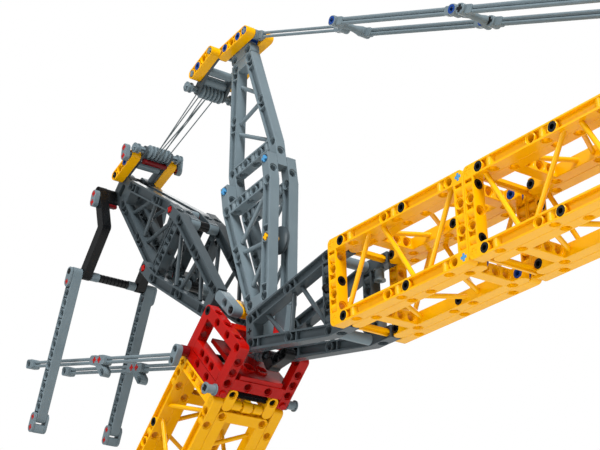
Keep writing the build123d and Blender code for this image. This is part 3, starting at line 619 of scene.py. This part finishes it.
def head_frame():
    """Side of the head: an open frame of 5 by 7 rows, with holes on all its faces."""
    outline = rounded(-HALF, HEAD_ROWS + HALF, -WIDE_OUT, WIDE_OUT, 0.42)
    return carve((JOIN, [slab(outline, -HALF + 0.02, HALF - 0.02)]),
                 (CUT, [slab(box(HALF, HEAD_ROWS - HALF, -WIDE_IN, WIDE_IN), -1, 1, 0)]),
                 (CUT, [hole(s, w) for w in (-3, -1, 1, 3) for s in (0, HEAD_ROWS)]),
                 (CUT, [hole(s, w, "s") for w in (-2, 0, 2) for s in (0, HEAD_ROWS)]),
                 (CUT, [hole(s, w, "w") for w in (-3, 3) for s in (1, 2, 3)]))


def floor_plate():
    """Plate across the head behind the front beam, with two rimmed round openings."""
    rim = sleeve([(0.48, 0.18), (0.6, 0.18), (0.6, 0.38), (0.48, 0.38)], 28)
    places = [(s, -1.8) for s in (-0.62, 0.62)]
    return carve((JOIN, [slab(box(-2.1, 2.1, -3.4, 2.6), -0.2, 0.2)]),
                 (CUT, [round_cut(s, w, 0.5, 28) for s, w in places]),
                 (JOIN, [moved(rim, spot(s, w)) for s, w in places]))


FRONT_BEAM = drilled(slab(box(0.5, 1.5, -2.52, 2.52), -HALF, HALF), *[hole(1, w) for w in (-1, 1)])
SQUARE_ENDED = box(-2 - HALF, 2 + HALF, -HALF, HALF)
INNER_BEAM = plain_beam(SQUARE_ENDED, (-1, 0, 1))
BUTTON = turned([(0, -0.1), (0.31, -0.1), (0.31, 0.12), (0.24, 0.2), (0, 0.2)], 16)
FORWARDS = Matrix.Rotation(math.radians(90), 4, "X")
fit("boom_head", RED, "boom",
    [(head_frame(), at(up_boom(HEAD), BOOM_ANGLE, y)) for y in (-3, 3)]
    + [(INNER_BEAM, at(up_boom(HEAD + 1), BOOM_ANGLE + 90, y)) for y in (-3, 3)]
    + [(FRONT_BEAM, lying(HEAD_CORNER, BOOM_ANGLE)), (floor_plate(), BOOM @ spot(HEAD + 1.68, 0, 0, "s")),
       (plain_beam(SQUARE_ENDED, (-1, 1)), lying(TOP_BEAM, BOOM_ANGLE) @ along(0, 0, 90))]
    + [(BUTTON, BOOM @ spot(HEAD, -3.5, t) @ FORWARDS) for t in (-3, 3)],
    ["head_side_right", "head_side_left", "head_beams", "head_panel"])
fit("boom_head_pins", BLACK, "boom", [(SHORT_PIN, BOOM @ spot(HEAD + HEAD_ROWS, 3, t)) for t in (-3, 3)])
fit("boom_head_blue_pins", BLUE, "boom", [(PIN, BOOM @ spot(HEAD + 1, 1, -2.5))])
STUD = turned([(0, 0.4), (0.3, 0.4), (0.3, 0.62), (0.2, 0.72), (0, 0.74)], 16)
fit("boom_head_studs", DARK_RED, "boom",
    [(STUD, lying(TOP_BEAM, BOOM_ANGLE - 90) @ spot(0, w, 0, "s")) for w in (-2, -1.2)])
fit("boom_axles", BLACK, "boom",
    [across(JIB_PIVOT, cross_axle(-2.5, 2.5)), across(REAR_PIVOT, cross_axle(-2.5, 2.5)),
     across(HEAD_CORNER, cross_axle(-4.55, 4.55)), across(PENDANT_PLACE, cross_axle(-3.5, 3.5))],
    ["boom_axles"])
fit("boom_head_bushes", LIGHT_GREY, "boom",
    [across(HEAD_CORNER, bush(low, low + 0.97, 0.37, 0.25, HALF, 0.1)) for low in (3.53, -4.5)],
    ["head_bushes"])

# ---- jib ----
JIB_START = (JIB_PIVOT[0] + FOOT + EAR, JIB_PIVOT[1])
pins, blue_ends, pale_ends = [], [], []
for number in range(3):
    start = (JIB_START[0] + number * (SECTION + 1), JIB_START[1])
    seat = at(start)
    if number == 1:
        side_seats = [at((start[0] + SECTION, start[1]), 0, y) @ BACKWARDS for y in (-3, 3)]
        bar_pins = ((-0.5, -2), (-0.5, 2))
    else:
        side_seats = [at(start, 0, y) for y in (-3, 3)]
        bar_pins = ((-0.5, 0),)
    fit(f"jib_section_{number + 1}", YELLOW, "jib",
        [(SIDE, side_seat) for side_seat in side_seats]
        + [(PANEL, lying((start[0], start[1] - 3))), (PANEL, lying((start[0], start[1] + 3)) @ OVER)]
        + [(cross_axle(-WIDE_OUT, WIDE_OUT), seat @ spot(0, w)) for w in (-3, 3)],
        [f"jib{number + 1}_{part}" for part in ("side_right", "side_left", "panels")])
    pins += [(PIN, seat @ spot(s, w, t)) for s in (1, 8) for w in (-3, 3) for t in (-2.5, 2.5)]
    pins += [(PIN, seat @ spot(s, w, t, "s")) for s, w in bar_pins for t in (-3, 3)]
    for w in (-3, 3):
        for side in (-1, 1):
            pale_ends.append((cross_axle(*sorted((side * 2.45, side * 3.5))), seat @ spot(SECTION, w)))
            blue_ends.append((SHORT_PIN, seat @ spot(SECTION, w, side * 2)))
fit("jib_section_pins", BLACK, "jib", pins)
fit("jib_section_axle_pins", PALE_BLUE, "jib", pale_ends, ["jib_section_axles"])
fit("jib_section_pin_ends", BLUE, "jib", blue_ends)
fit("jib_foot_frames", DARK_GREY, "jib", [(TAPER, at(JIB_PIVOT, 0, y)) for y in (-2, 2)],
    ["jib_foot_right", "jib_foot_left"])
fit("jib_foot_ties", LIGHT_GREY, "jib",
    [(tube(-NARROW_OUT, NARROW_OUT), at(JIB_PIVOT) @ spot(FOOT, w)) for w in (-3, 3)]
    + [(bush(-0.5, 0.5, 0.38), at(JIB_PIVOT) @ spot(FOOT + 1, w, t, "w"))
       for w in (-2.1, 2.1) for t in (-2, 2)],
    ["jib_foot_ties"])

# luffing strut under the pivot: tapered end, ridged coupling and a bent beam
STRUT_TIP, STRUT_BASE = (12.96, 11.44), (14.3, 11.0)
STRUT_END, STRUT_BEND, STRUT_FAR = (15.9, 10.47), (16.3, 9.7), (19.7, 10.1)
CONE = turned([(0, 0), (0.06, 0), (0.42, 1.4), (0.46, 1.45), (0.46, 1.5), (0, 1.5)])
COUPLING = turned([(0, 1.5), (0.34, 1.5), (0.34, 1.65), (0.46, 1.65), (0.46, 2.1), (0.36, 2.12), (0.36, 2.25),
                   (0.46, 2.27), (0.46, 2.7), (0.34, 2.72), (0.34, 3.1), (0, 3.1)])
fit("jib_strut_tip", DARK_GREY, "boom",
    [(shape, toward(STRUT_TIP, STRUT_BASE) @ TURNS["s"]) for shape in (CONE, COUPLING)])
fit("jib_strut_beam", BLACK, "jib",
    [(drilled(slab(round_ended(0, 1.0), -HALF, HALF), hole(0, 0)), toward(STRUT_END, STRUT_BEND)),
     (beam(0, "ooo"), toward(STRUT_BEND, STRUT_FAR))])

# ---- jib head ----
JIB_END = (JIB_START[0] + 3 * (SECTION + 1) - 1, JIB_START[1])
STAY_EYE = shifted(JIB_END, 0, 2.4, 3)


def jib_head():
    """Cheek of the jib's head: a short open plate that carries the stays' axle and the sheave's."""
    outline = [(0.51, -WIDE_OUT), (1.5, -WIDE_OUT), (5 + HALF, 0.3), (5 + HALF, 1.7),
               (2.9, WIDE_OUT), (0.51, WIDE_OUT)]
    opening = [(1.5, -2), (4.2, 0.7), (4.2, 1.2), (2.4, 2.2), (1.5, 2.2)]
    return carve((JOIN, [slab(outline, -HALF, HALF)]), (CUT, [slab(opening, -1, 1, 0)]),
                 (CUT, [hole(2.4, 3), hole(5, 1)]))


HEAD_CHEEK = jib_head()
fit("jib_head", DARK_GREY, "jib",
    [(HEAD_CHEEK, at(JIB_END, 0, y)) for y in (-2, 2)]
    + [(tube(-NARROW_OUT, NARROW_OUT), at(JIB_END) @ spot(1, -3))], ["jib_head"])
fit("jib_head_axles", BLACK, "jib",
    [across(STAY_EYE, cross_axle(-2.5, 2.5)), across(NOSE, cross_axle(-2.5, 2.5))], ["jib_head_axles"])
fit("jib_head_spacers", LIGHT_GREY, "jib",
    [across(NOSE, tube(low, low + 1.05)) for low in (0.42, -1.47)]
    + [across(STAY_EYE, tube(low, low + 0.95)) for low in (0.52, -1.47)])

# ---- front mast ----
FRONT_FOOT = 3
FRONT_TOP = FRONT_FOOT + 2 * (FOOT + EAR)
CAP_PLACE = shifted(JIB_PIVOT, FRONT_ANGLE, FRONT_TOP + 2)
ARM_PLACE = at(CAP_PLACE, FRONT_ANGLE + 90)
STAY_START = shifted(CAP_PLACE, FRONT_ANGLE + 90, -2)
FRONT_JOINTS = [shifted(JIB_PIVOT, FRONT_ANGLE, FRONT_FOOT + FOOT + EAR, w) for w in (-3, 3)]


def mast_root():
    """Foot of a lower frame: from its narrow end down to the pivot."""
    loop = arc(0, 0, HALF, 110, 250, 10) + box(2.6, 3.3, -NARROW_OUT, NARROW_OUT)
    return drilled(slab(loop, -HALF + 0.02, HALF - 0.02), hole(0, 0), hole(3, 1), hole(3, -1))


def mast_cap():
    """Block on the mast's narrow end, between the two arms."""
    lower = slab(rounded(0.51, NARROW_OUT, -NARROW_OUT, NARROW_OUT, 0.3), -HALF, HALF)
    upper = slab(rounded(1.2, 2.49, -1.18, 1.18, 0.25), -HALF + 0.01, HALF - 0.01)
    return carve((JOIN, [lower]), (JOIN, [upper]), (CUT, [hole(1, w) for w in (-1, 1)]))


ROOT = mast_root()
TOP_SEAT = at(shifted(JIB_PIVOT, FRONT_ANGLE, FRONT_TOP), FRONT_ANGLE)
fit("front_mast_frames", LIGHT_GREY, "front_mast",
    [(TAPER, at(shifted(JIB_PIVOT, FRONT_ANGLE, FRONT_FOOT), FRONT_ANGLE, y)) for y in (-1, 1)]
    + [(ROOT, at(JIB_PIVOT, FRONT_ANGLE, y)) for y in (-1, 1)]
    + [(TAPER, TOP_SEAT @ BACKWARDS), (mast_cap(), TOP_SEAT)],
    ["front_mast_low_right", "front_mast_low_left", "front_mast_high", "front_mast_cap"])
fit("front_mast_joint_axles", PALE_BLUE, "front_mast",
    [across(place, cross_axle(-1.62, 1.62)) for place in FRONT_JOINTS], ["front_mast_axles"])
fit("front_mast_top_axles", LIGHT_GREY, "front_mast",
    [across(STAY_START, cross_axle(-1.5, 1.5)), across(BLOCK_START, cross_axle(-2.52, 2.52)),
     across(PULLEY, tube(0.42, 0.52)), across(PULLEY, tube(-0.52, -0.42))])
fit("guide_pulley_axle", YELLOW, "front_mast", [across(PULLEY, cross_axle(-1.52, 1.52))])
GROOVED = sleeve([(0.3, -0.3), (0.44, -0.3), (1.15, -0.16), (1.2, -0.13), (1.16, -0.08), (1.04, 0.0),
                  (1.16, 0.06), (1.2, 0.1), (1.15, 0.13), (0.44, 0.3), (0.3, 0.3)], 32)
fit("guide_pulley", DARK_GREY, "guide_pulley", [across(PULLEY, GROOVED)], ["guide_pulley"])
MAST_ARM = beam(-2, "ooooo")
fit("mast_arms", YELLOW, "front_mast", [(MAST_ARM, ARM_PLACE @ spot(0, 0, t)) for t in (-1, 1)],
    ["mast_arms"])
fit("mast_arm_pins", BLUE, "front_mast",
    [(PIN, ARM_PLACE @ spot(s, 0, t)) for s in (-1, 1) for t in (-0.5, 0.5)]
    + [(SHORT_PIN, ARM_PLACE @ spot(-2, 0, t)) for t in (-1, 1)])

# ---- jib stays: two thin rods with a connector at each joint ----
STAY = toward(STAY_START, STAY_EYE)
STAY_LENGTH = math.hypot(STAY_EYE[0] - STAY_START[0], STAY_EYE[1] - STAY_START[1])
FIRST_JOINT, MID_JOINT, LAST_JOINT = 13.5, 29.5, 45.5
STAY_SIDES = (-1.5, 1.5)
EYE_GAP = 0.45  # from a joint's middle to each of its two eyes
# one stay down the middle at each end, two side by side between the first joint and the last;
# columns: start, end, place across the crane, radius of a rod
STAY_SPANS = ([(0, FIRST_JOINT, 0, 0.13)]
              + [(*span, t, 0.17) for span in ((FIRST_JOINT, MID_JOINT), (MID_JOINT, LAST_JOINT))
                 for t in STAY_SIDES]
              + [(LAST_JOINT, STAY_LENGTH, 0, 0.13)])
fit("jib_stay_rods", LIGHT_GREY, "front_mast",
    [(between((start + 0.7, w, t), (end - 0.7, w, t), radius), STAY)
     for start, end, t, radius in STAY_SPANS for w in (-0.17, 0.17)], ["jib_stay_rods"])


def rod_end(length):
    """Connector at a rod's end: a block with a cross hole, drawn in to a collar round the two rods."""
    block = slab(rounded(-0.42, 0.45, -0.42, 0.42, 0.3), -0.45, 0.45)
    collar = slab(rounded(0.3, length, -0.36, 0.36, 0.12, 2), -0.24, 0.24)
    return carve((JOIN, [block]), (JOIN, [collar]), (CUT, [cross_hole()]))


ROD_END = rod_end(1.1)
JOIN_TUBE = turned([(0, 0.45), (0.3, 0.45), (0.42, 1.0), (0.42, 1.06), (0, 1.06)])
UPSIDE_DOWN = Matrix.Scale(-1, 4, (0, 0, 1))
ends, pins = [], []
for start, end, t, _ in STAY_SPANS:
    first = start + EYE_GAP if start else start
    last = end - EYE_GAP if end < STAY_LENGTH else end
    ends += [(ROD_END, STAY @ spot(first, 0, t)), (ROD_END, STAY @ spot(last, 0, t) @ BACKWARDS)]
for s in (FIRST_JOINT, MID_JOINT, LAST_JOINT):
    for t in STAY_SIDES:
        pins.append((pin(0.48), STAY @ spot(s - EYE_GAP if s == MID_JOINT else s + EYE_GAP, 0, t)))
axles = [(cross_axle(-0.5, 0.5), STAY @ spot(MID_JOINT + EYE_GAP, 0, t)) for t in STAY_SIDES]
JOIN_PLACES = (FIRST_JOINT + EYE_GAP, MID_JOINT, LAST_JOINT - EYE_GAP)
ends += [(JOIN_TUBE, STAY @ spot(s, 0) @ turn) for s in JOIN_PLACES for turn in (TURNS["t"], UPSIDE_DOWN)]
ends += [(between((s, 0, -0.5), (s, 0, 0.5), 0.3), STAY) for s in JOIN_PLACES]
fit("jib_stay_links", LIGHT_GREY, "front_mast", ends, ["jib_stay_links"])
fit("jib_stay_pins", BLUE, "front_mast", pins)
fit("jib_stay_axles", BLACK, "front_mast", axles)

# ---- rear mast ----
REAR_BASE = shifted(REAR_PIVOT, REAR_ANGLE, 3.5, 1)
REAR_TOP = shifted(REAR_BASE, REAR_ANGLE, 2 * FOOT + EAR)
REAR = at(REAR_BASE, REAR_ANGLE)


def mast_tip():
    """Short plate past the narrow end: the block's axle on one side, the link's on the other."""
    outline = rounded(0.5, 2 + HALF, -NARROW_OUT, NARROW_OUT, 0.35)
    return carve((JOIN, [slab(outline, -HALF + 0.02, HALF - 0.02)]),
                 (CUT, [slab(rounded(0.9, 1.6, -0.6, 0.6, 0.2), -1, 1, 0)]),
                 (CUT, [moved(cross_hole(), spot(2, w)) for w in (-1, 1)]))


FOOT_PIECE = drilled(slab(round_ended(0, 2.5), -HALF, HALF), hole(0, 0), hole(1.25, 0))
TIP = mast_tip()
fit("rear_mast_frames", DARK_GREY, "rear_mast",
    [(TAPER, at(REAR_BASE, REAR_ANGLE, y)) for y in (-2, 2)]
    + [(TAPER, at(REAR_TOP, REAR_ANGLE, y) @ BACKWARDS) for y in (-1, 1)],
    ["rear_mast_low_right", "rear_mast_low_left", "rear_mast_high_right", "rear_mast_high_left"])
fit("rear_mast_feet", LIGHT_GREY, "rear_mast",
    [(FOOT_PIECE, at(REAR_PIVOT, REAR_ANGLE, y)) for y in (-2, 2)], ["rear_mast_feet"])
SPACER = drilled(slab(round_ended(0, 1.25), -HALF, HALF), hole(0, 0), hole(1.25, 0))
fit("rear_mast_spacers", YELLOW, "rear_mast",
    [(SPACER, at(REAR_PIVOT, REAR_ANGLE, y)) for y in (-1, 1)], ["rear_mast_spacers"])
fit("rear_mast_tip", DARK_GREY, "rear_mast",
    [(TIP, at(REAR_TOP, REAR_ANGLE, y)) for y in (-1, 1)], ["rear_mast_tip"])
fit("rear_mast_axles", RED, "rear_mast",
    [(cross_axle(-2.52, 2.52), REAR @ spot(FOOT + EAR, w)) for w in (-3, 3)], ["rear_mast_axles"])
fit("rear_mast_tip_axles", BLACK, "rear_mast",
    [across(TIP_BLOCK, cross_axle(-2.5, 2.5)), across(TIP_LINK, cross_axle(-3.5, 3.5))],
    ["rear_mast_tip_axles"])
CROSS_TUBES = ((9.7, -3), (6.9, 1.7))
fit("rear_mast_cross_tubes", LIGHT_GREY, "rear_mast",
    [(tube(low, low + 0.98, 0.5), REAR @ spot(s, w)) for s, w in CROSS_TUBES for low in (0.5, -1.48)]
    + [(tube(-0.48, 0.48, 0.42), REAR @ spot(FOOT + EAR, w)) for w in (-3, 3)])
fit("rear_mast_cross_bands", BLACK, "rear_mast",
    [(tube(-0.5, 0.5, 0.44), REAR @ spot(s, w)) for s, w in CROSS_TUBES])

# ---- tackle blocks ----
BLOCK_ARM = beam(0, "oooo")
TACKLE_ANGLE = math.degrees(math.atan2(BLOCK_START[1] - TIP_BLOCK[1], BLOCK_START[0] - TIP_BLOCK[0]))


def sheaves(place):
    """Six grooved discs on one axle."""
    profile = []
    for index in range(6):
        low = -1.2 + 0.4 * index
        profile += [(0.36, low), (0.6, low + 0.05), (0.64, low + 0.09), (0.64, low + 0.19), (0.6, low + 0.23),
                    (0.36, low + 0.28)]
    return across(place, turned([(0, -1.2)] + profile + [(0, 1.2)], 28))


def thin_plate(first, last, edge=EDGE):
    return slab(round_ended(first, last, 0.46), -0.13, 0.13, edge)


def cheek(start, end, t):
    """Thin plate beside the sheaves, from one axle to another."""
    return thin_plate(0, math.dist(start, end), 0.03), toward(start, end) @ spot(0, 0, t)


for block, start, angle, centre in (("upper_block", BLOCK_START, TACKLE_ANGLE + 180, UPPER_SHEAVES),
                                    ("lower_block", TIP_BLOCK, TACKLE_ANGLE, LOWER_SHEAVES)):
    seat = at(start, angle)
    stack = block.replace("block", "sheaves")
    fit(f"{block}_arms", YELLOW, block, [(BLOCK_ARM, seat @ spot(0, 0, t)) for t in (-2, 2)],
        [f"{block}_arms"])
    fit(f"{block}_plates", DARK_GREY, block,
        [cheek(start, shifted(start, angle, 3), t) for t in (-1.38, 1.38)]
        + [cheek(shifted(start, angle, 2), centre, t) for t in (-1.39, 1.39)], [f"{block}_plates"])
    fit(f"{block}_pins", BLUE, block, [(pin(0.62), seat @ spot(2, 0, t)) for t in (-1.9, 1.9)])
    fit(f"{block}_axles", LIGHT_GREY, block,
        [(cross_axle(-2.51, 2.51), seat @ spot(3, 0)), across(centre, cross_axle(-2.75, 2.75))]
        + [across(centre, bush(low, low + 0.5)) for low in (2.1, -2.6)]
        + [(tube(-1.24, 1.24, 0.4), seat @ spot(2.1, 0))]
        + ([(tube(-1.24, 1.24, 0.4), seat @ spot(3.2, 0.2))] if block == "upper_block" else []))
    fit(stack, LIGHT_GREY, stack, [sheaves(centre)], [f"{block}_sheaves"])
LOWER = at(TIP_BLOCK, TACKLE_ANGLE)
fit("lower_block_bar", DARK_RED, "lower_block",
    [(between((3.2, -0.64, -1.24), (3.2, -0.64, 1.24), 0.26, 16), LOWER)])

TWIN_HOLES = (-0.42, 0.42)
TWIN = drilled(slab(round_ended(-0.4, 0.4, 0.42), -0.26, 0.26), *[cross_cut(s, 0.27) for s in TWIN_HOLES])


def fit_twins(name, body, seats):
    """Connectors with two parallel cross holes, and the red axles whose ends show in them."""
    fit(f"{name}_connectors", LIGHT_GREY, body, [(TWIN, seat) for seat in seats])
    fit(f"{name}_connector_axles", RED, body,
        [(cross_axle(-0.28, 0.28), seat @ spot(s, 0)) for seat in seats for s in TWIN_HOLES])


fit_twins("lower_block", "lower_block", [LOWER @ spot(3.05, 0.1, t) @ along(0, 0, 60) for t in (-2.95, 2.95)])

# turns of thin cord between the blocks; columns: place along the upper and along the lower sheaves
CORD_TURNS = ((-0.95, -0.35), (-0.55, -0.4), (-0.15, 0.25), (0.25, 0.15), (0.3, -0.25), (1.0, 0.85))
GAP_SPAN = math.dist(UPPER_SHEAVES, LOWER_SHEAVES)
fit("tackle_cords", CORD, "upper_block",
    [(between((0, -0.42, -high), (GAP_SPAN, 0.42, -low), 0.055, 8), toward(UPPER_SHEAVES, LOWER_SHEAVES))
     for high, low in CORD_TURNS])

# ---- backstays ----
LINK_TOP_LENGTH = 4.0
BEND = shifted(TIP_LINK, LINK_ANGLE, LINK_TOP_LENGTH)
LINK_LOW_LENGTH = math.dist(BEND, LINK_END)
LINK_TOP = drilled(slab(round_ended(0, LINK_TOP_LENGTH), -HALF + 0.02, HALF - 0.02), hole(0, 0))
LINK_LOW = drilled(slab(round_ended(0, LINK_LOW_LENGTH), -HALF + 0.03, HALF - 0.03), hole(LINK_LOW_LENGTH, 0))
fit("back_links", BLACK, "back_links",
    [(LINK_TOP, toward(TIP_LINK, BEND, y)) for y in (-3, 3)]
    + [(LINK_LOW, toward(BEND, LINK_END, y)) for y in (-3, 3)], ["back_links"])
fit("back_axle", BLACK, "back_links", [across(LINK_END, cross_axle(-4.79, 4.79))], ["back_axle"])
fit("back_tubes", LIGHT_GREY, "back_links",
    [across(LINK_END, tube(low, low + 0.85)) for low in (-2.45, 1.6)], ["back_tubes"])
RIBS = [(0.27, -1.58)]
for k in range(8):
    low = -1.58 + 0.4 * k
    RIBS += [(0.4, low), (0.4, low + 0.3), (0.35, low + 0.32)]
RIBS[-1] = (0.27, 1.52)
fit("back_ribbed_sleeve", BLACK, "back_links", [across(LINK_END, sleeve(RIBS))])
TIP_LINE = at(TIP_LINK) @ along(0, 0, LINK_ANGLE)
TIP_SIDES = (-2.02, 2.02)
fit("back_link_blocks", BLACK, "back_links",
    [(slab(round_ended(0, 1.1, 0.45), -0.44, 0.44), TIP_LINE @ spot(0, 0, t)) for t in TIP_SIDES])
fit("back_link_bars", DARK_RED, "back_links",
    [(tube(-0.44, 0.44, 0.2, 0.08), TIP_LINE @ spot(1.45, 0.15, t)) for t in TIP_SIDES])
fit_twins("back_link", "back_links",
          [at(TIP_LINK) @ spot(0.15, -0.9, t) @ along(0, 0, 70) for t in (-3.75, 3.75)])

BACK_BEAM = beam(0, "o" * 15)
FORK_CHEEK = drilled(thin_plate(14, 15), *[cross_cut(s) for s in (14, 15)])
TOP_CHEEK = drilled(thin_plate(0, 1), round_cut(0), cross_cut(1))
FORK_BRIDGE = drilled(slab(rounded(14.62, 15.44, -0.4, 0.4, 0.12, 2), -0.52, 0.52), cross_cut(15))
for side, y, outside in (("right", -4, 0.64), ("left", 4, -0.64)):
    seat = at(LINK_END, BACK_ANGLE, y)
    body = f"backstay_{side}"
    fit(f"backstay_beam_{side}", LIGHT_GREY, body, [(BACK_BEAM, seat)], [f"backstay_beam_{side}"])
    fit(f"backstay_forks_{side}", LIGHT_GREY, body,
        [(FORK_CHEEK, seat @ spot(0, 0, t)) for t in (-0.64, 0.64)]
        + [(FORK_BRIDGE, seat), (TOP_CHEEK, seat @ spot(0, 0, outside))])
    fit(f"backstay_fork_axles_{side}", RED, body,
        [(cross_axle(-0.77, 0.77), seat @ spot(s, 0)) for s in (14, 15)]
        + [(cross_axle(*sorted((0, 1.2 * outside))), seat @ spot(1, 0))])

# ---- boom pendants ----
PENDANT_STOPS = (3.4, 17.2, 31.0)
MIDDLE = PENDANT_STOPS[1]
FLAT = slab(rounded(-0.42, 0.9, -0.45, 0.45, 0.25), -0.46, 0.46)
FLAT_END = drilled(FLAT, cross_hole())
LAST_END = drilled(FLAT, hole(0, 0, half=0.46))
SLIM_BEAM = plain_beam(round_ended(0, 2), (1,), (0,), HALF - 0.03)
HOOK = drilled(slab(round_ended(0, 1.5, 0.4), -0.42, 0.42), hole(1.5, 0, half=0.42))
for side, y in (("right", -2), ("left", 2)):
    seat = at(PENDANT_PLACE, PENDANT_ANGLE, y)
    body = f"pendant_{side}"
    fit(f"pendant_rods_{side}", LIGHT_GREY, body,
        [(between((a + 0.6, w, 0), (b - 0.6, w, 0), 0.16), seat)
         for a, b in zip(PENDANT_STOPS, PENDANT_STOPS[1:]) for w in (-0.18, 0.18)],
        [f"pendant_rods_{side}"])
    fit(f"pendant_links_{side}", LIGHT_GREY, body,
        [(FLAT_END, seat @ spot(PENDANT_STOPS[0], 0)), (FLAT_END, seat @ spot(MIDDLE + 0.45, 0)),
         (FLAT_END, seat @ spot(MIDDLE - 0.45, 0) @ BACKWARDS), (SLIM_BEAM, seat)], [f"pendant_links_{side}"])
    fit(f"pendant_axles_{side}", RED, body,
        [(cross_axle(-HALF, HALF), seat @ spot(MIDDLE + s, 0)) for s in (-0.45, 0.45)])
    fit(f"pendant_ends_{side}", LIGHT_GREY, body, [(LAST_END, seat @ spot(PENDANT_STOPS[2], 0) @ BACKWARDS)])
    fit(f"pendant_hooks_{side}", LIGHT_GREY, body, [(HOOK, seat @ spot(MIDDLE, 0.2) @ along(0, 0, 140))])

fit("pendant_corner_bushes", DARK_RED, "boom",
    [across(PENDANT_PLACE, tube(low, low + 0.7, 0.47, 0.25)) for low in (3.52, -4.22)])
CORNER = drilled(slab(round_ended(-0.5, 0.5, 0.45), -0.28, 0.28), *[round_cut(s) for s in (-0.5, 0.5)])
fit("pendant_corner_links", LIGHT_GREY, "boom",
    [(CORNER, at(PENDANT_PLACE) @ spot(-0.28, -0.42, t) @ along(0, 0, 56)) for t in (-4.45, 4.45)])

# ---- every CAD node that still shows gets its moulded finish ----
FINISH = {"yellow_abs": YELLOW, "red_abs": RED, "dark_grey_abs": DARK_GREY, "light_grey_abs": LIGHT_GREY,
          "black_abs": BLACK, "red_axle_abs": RED, "pale_blue_abs": PALE_BLUE}
for entry in frame["record"]["subparts"]:
    solid = frame["nodes"][entry["node"]]
    solid.data.materials.clear()
    solid.data.materials.append(FINISH[entry["material_slot"]])

# ---- floor, lights and camera ----
paper = bpy.data.materials.new("white studio paper")
paper.use_nodes = True
paper.node_tree.nodes["Principled BSDF"].inputs["Base Color"].default_value = linear("#F2F2F0")
paper.node_tree.nodes["Principled BSDF"].inputs["Roughness"].default_value = 0.9
FLOOR = -0.272
floor_mesh = bpy.data.meshes.new("floor")
floor_mesh.from_pydata([(-3, -3, FLOOR), (3, -3, FLOOR), (3, 3, FLOOR), (-3, 3, FLOOR)], [], [(0, 1, 2, 3)])
floor_mesh.materials.append(paper)
floor = bpy.data.objects.new("floor", floor_mesh)
SCENE.collection.objects.link(floor)

world = bpy.data.worlds.new("studio")
SCENE.world = world
world.use_nodes = True
sky = world.node_tree
sky.nodes.clear()
rays = add(sky, "ShaderNodeLightPath")
direct = add(sky, "ShaderNodeMath", (("operation", "MAXIMUM"),), Value=(rays, "Is Camera Ray"))
sky.links.new(rays.outputs["Is Transmission Ray"], direct.inputs[1])
# the surroundings are dimmer in the plastic's gloss than behind the crane, so that gaps stay dark
dimmed = add(sky, "ShaderNodeMath", (("operation", "MULTIPLY"),), Value=(rays, "Is Glossy Ray"))
dimmed.inputs[1].default_value = 0.3
shown = add(sky, "ShaderNodeMath", (("operation", "MAXIMUM"),), Value=(direct, "Value"))
sky.links.new(dimmed.outputs[0], shown.inputs[1])
soft = add(sky, "ShaderNodeBackground", Color=(1, 1, 1, 1), Strength=0.1)
white = add(sky, "ShaderNodeBackground", Color=(1, 1, 1, 1), Strength=1.0)
mixed = add(sky, "ShaderNodeMixShader", Fac=(shown, "Value"))
sky.links.new(soft.outputs[0], mixed.inputs[1])
sky.links.new(white.outputs[0], mixed.inputs[2])
add(sky, "ShaderNodeOutputWorld", Surface=(mixed, "Shader"))

# name, place, width in metres, power in watts
LAMPS = (("key", (1.9, -0.8, 2.1), 1.0, 112.0), ("front", (-0.5, -2.4, 0.9), 1.4, 30.0),
         ("back", (-1.2, 1.6, 1.4), 1.4, 12.0))
CENTRE = Vector((0.15, 0.0, 0.13))
for name, place, size, power in LAMPS:
    lamp = bpy.data.lights.new(name, "AREA")
    lamp.energy = power
    lamp.size = size
    stand = bpy.data.objects.new(name, lamp)
    stand.location = place
    stand.rotation_euler = (CENTRE - Vector(place)).to_track_quat("-Z", "Y").to_euler()
    SCENE.collection.objects.link(stand)

# the camera looks up at the crane from below, in front and to the right, a little rolled
CAMERA_PLACE = Vector((0.913541, -0.585245, -0.26256))
CAMERA_AIM = Vector((0.193819, -0.023996, 0.146096))
CAMERA_ROLL = -1.7471  # degrees
view = bpy.data.cameras.new("camera")
view.lens = 96.21
view.sensor_width = 36.0
view.clip_start = 0.05
camera = bpy.data.objects.new("camera", view)
aimed = (CAMERA_AIM - CAMERA_PLACE).to_track_quat("-Z", "Y").to_matrix().to_4x4()
roll = Matrix.Rotation(math.radians(CAMERA_ROLL), 4, "Z")
camera.matrix_world = Matrix.Translation(CAMERA_PLACE) @ aimed @ roll
SCENE.collection.objects.link(camera)
bpy.context.scene.camera = camera
bpy.context.scene.view_settings.view_transform = "Standard"
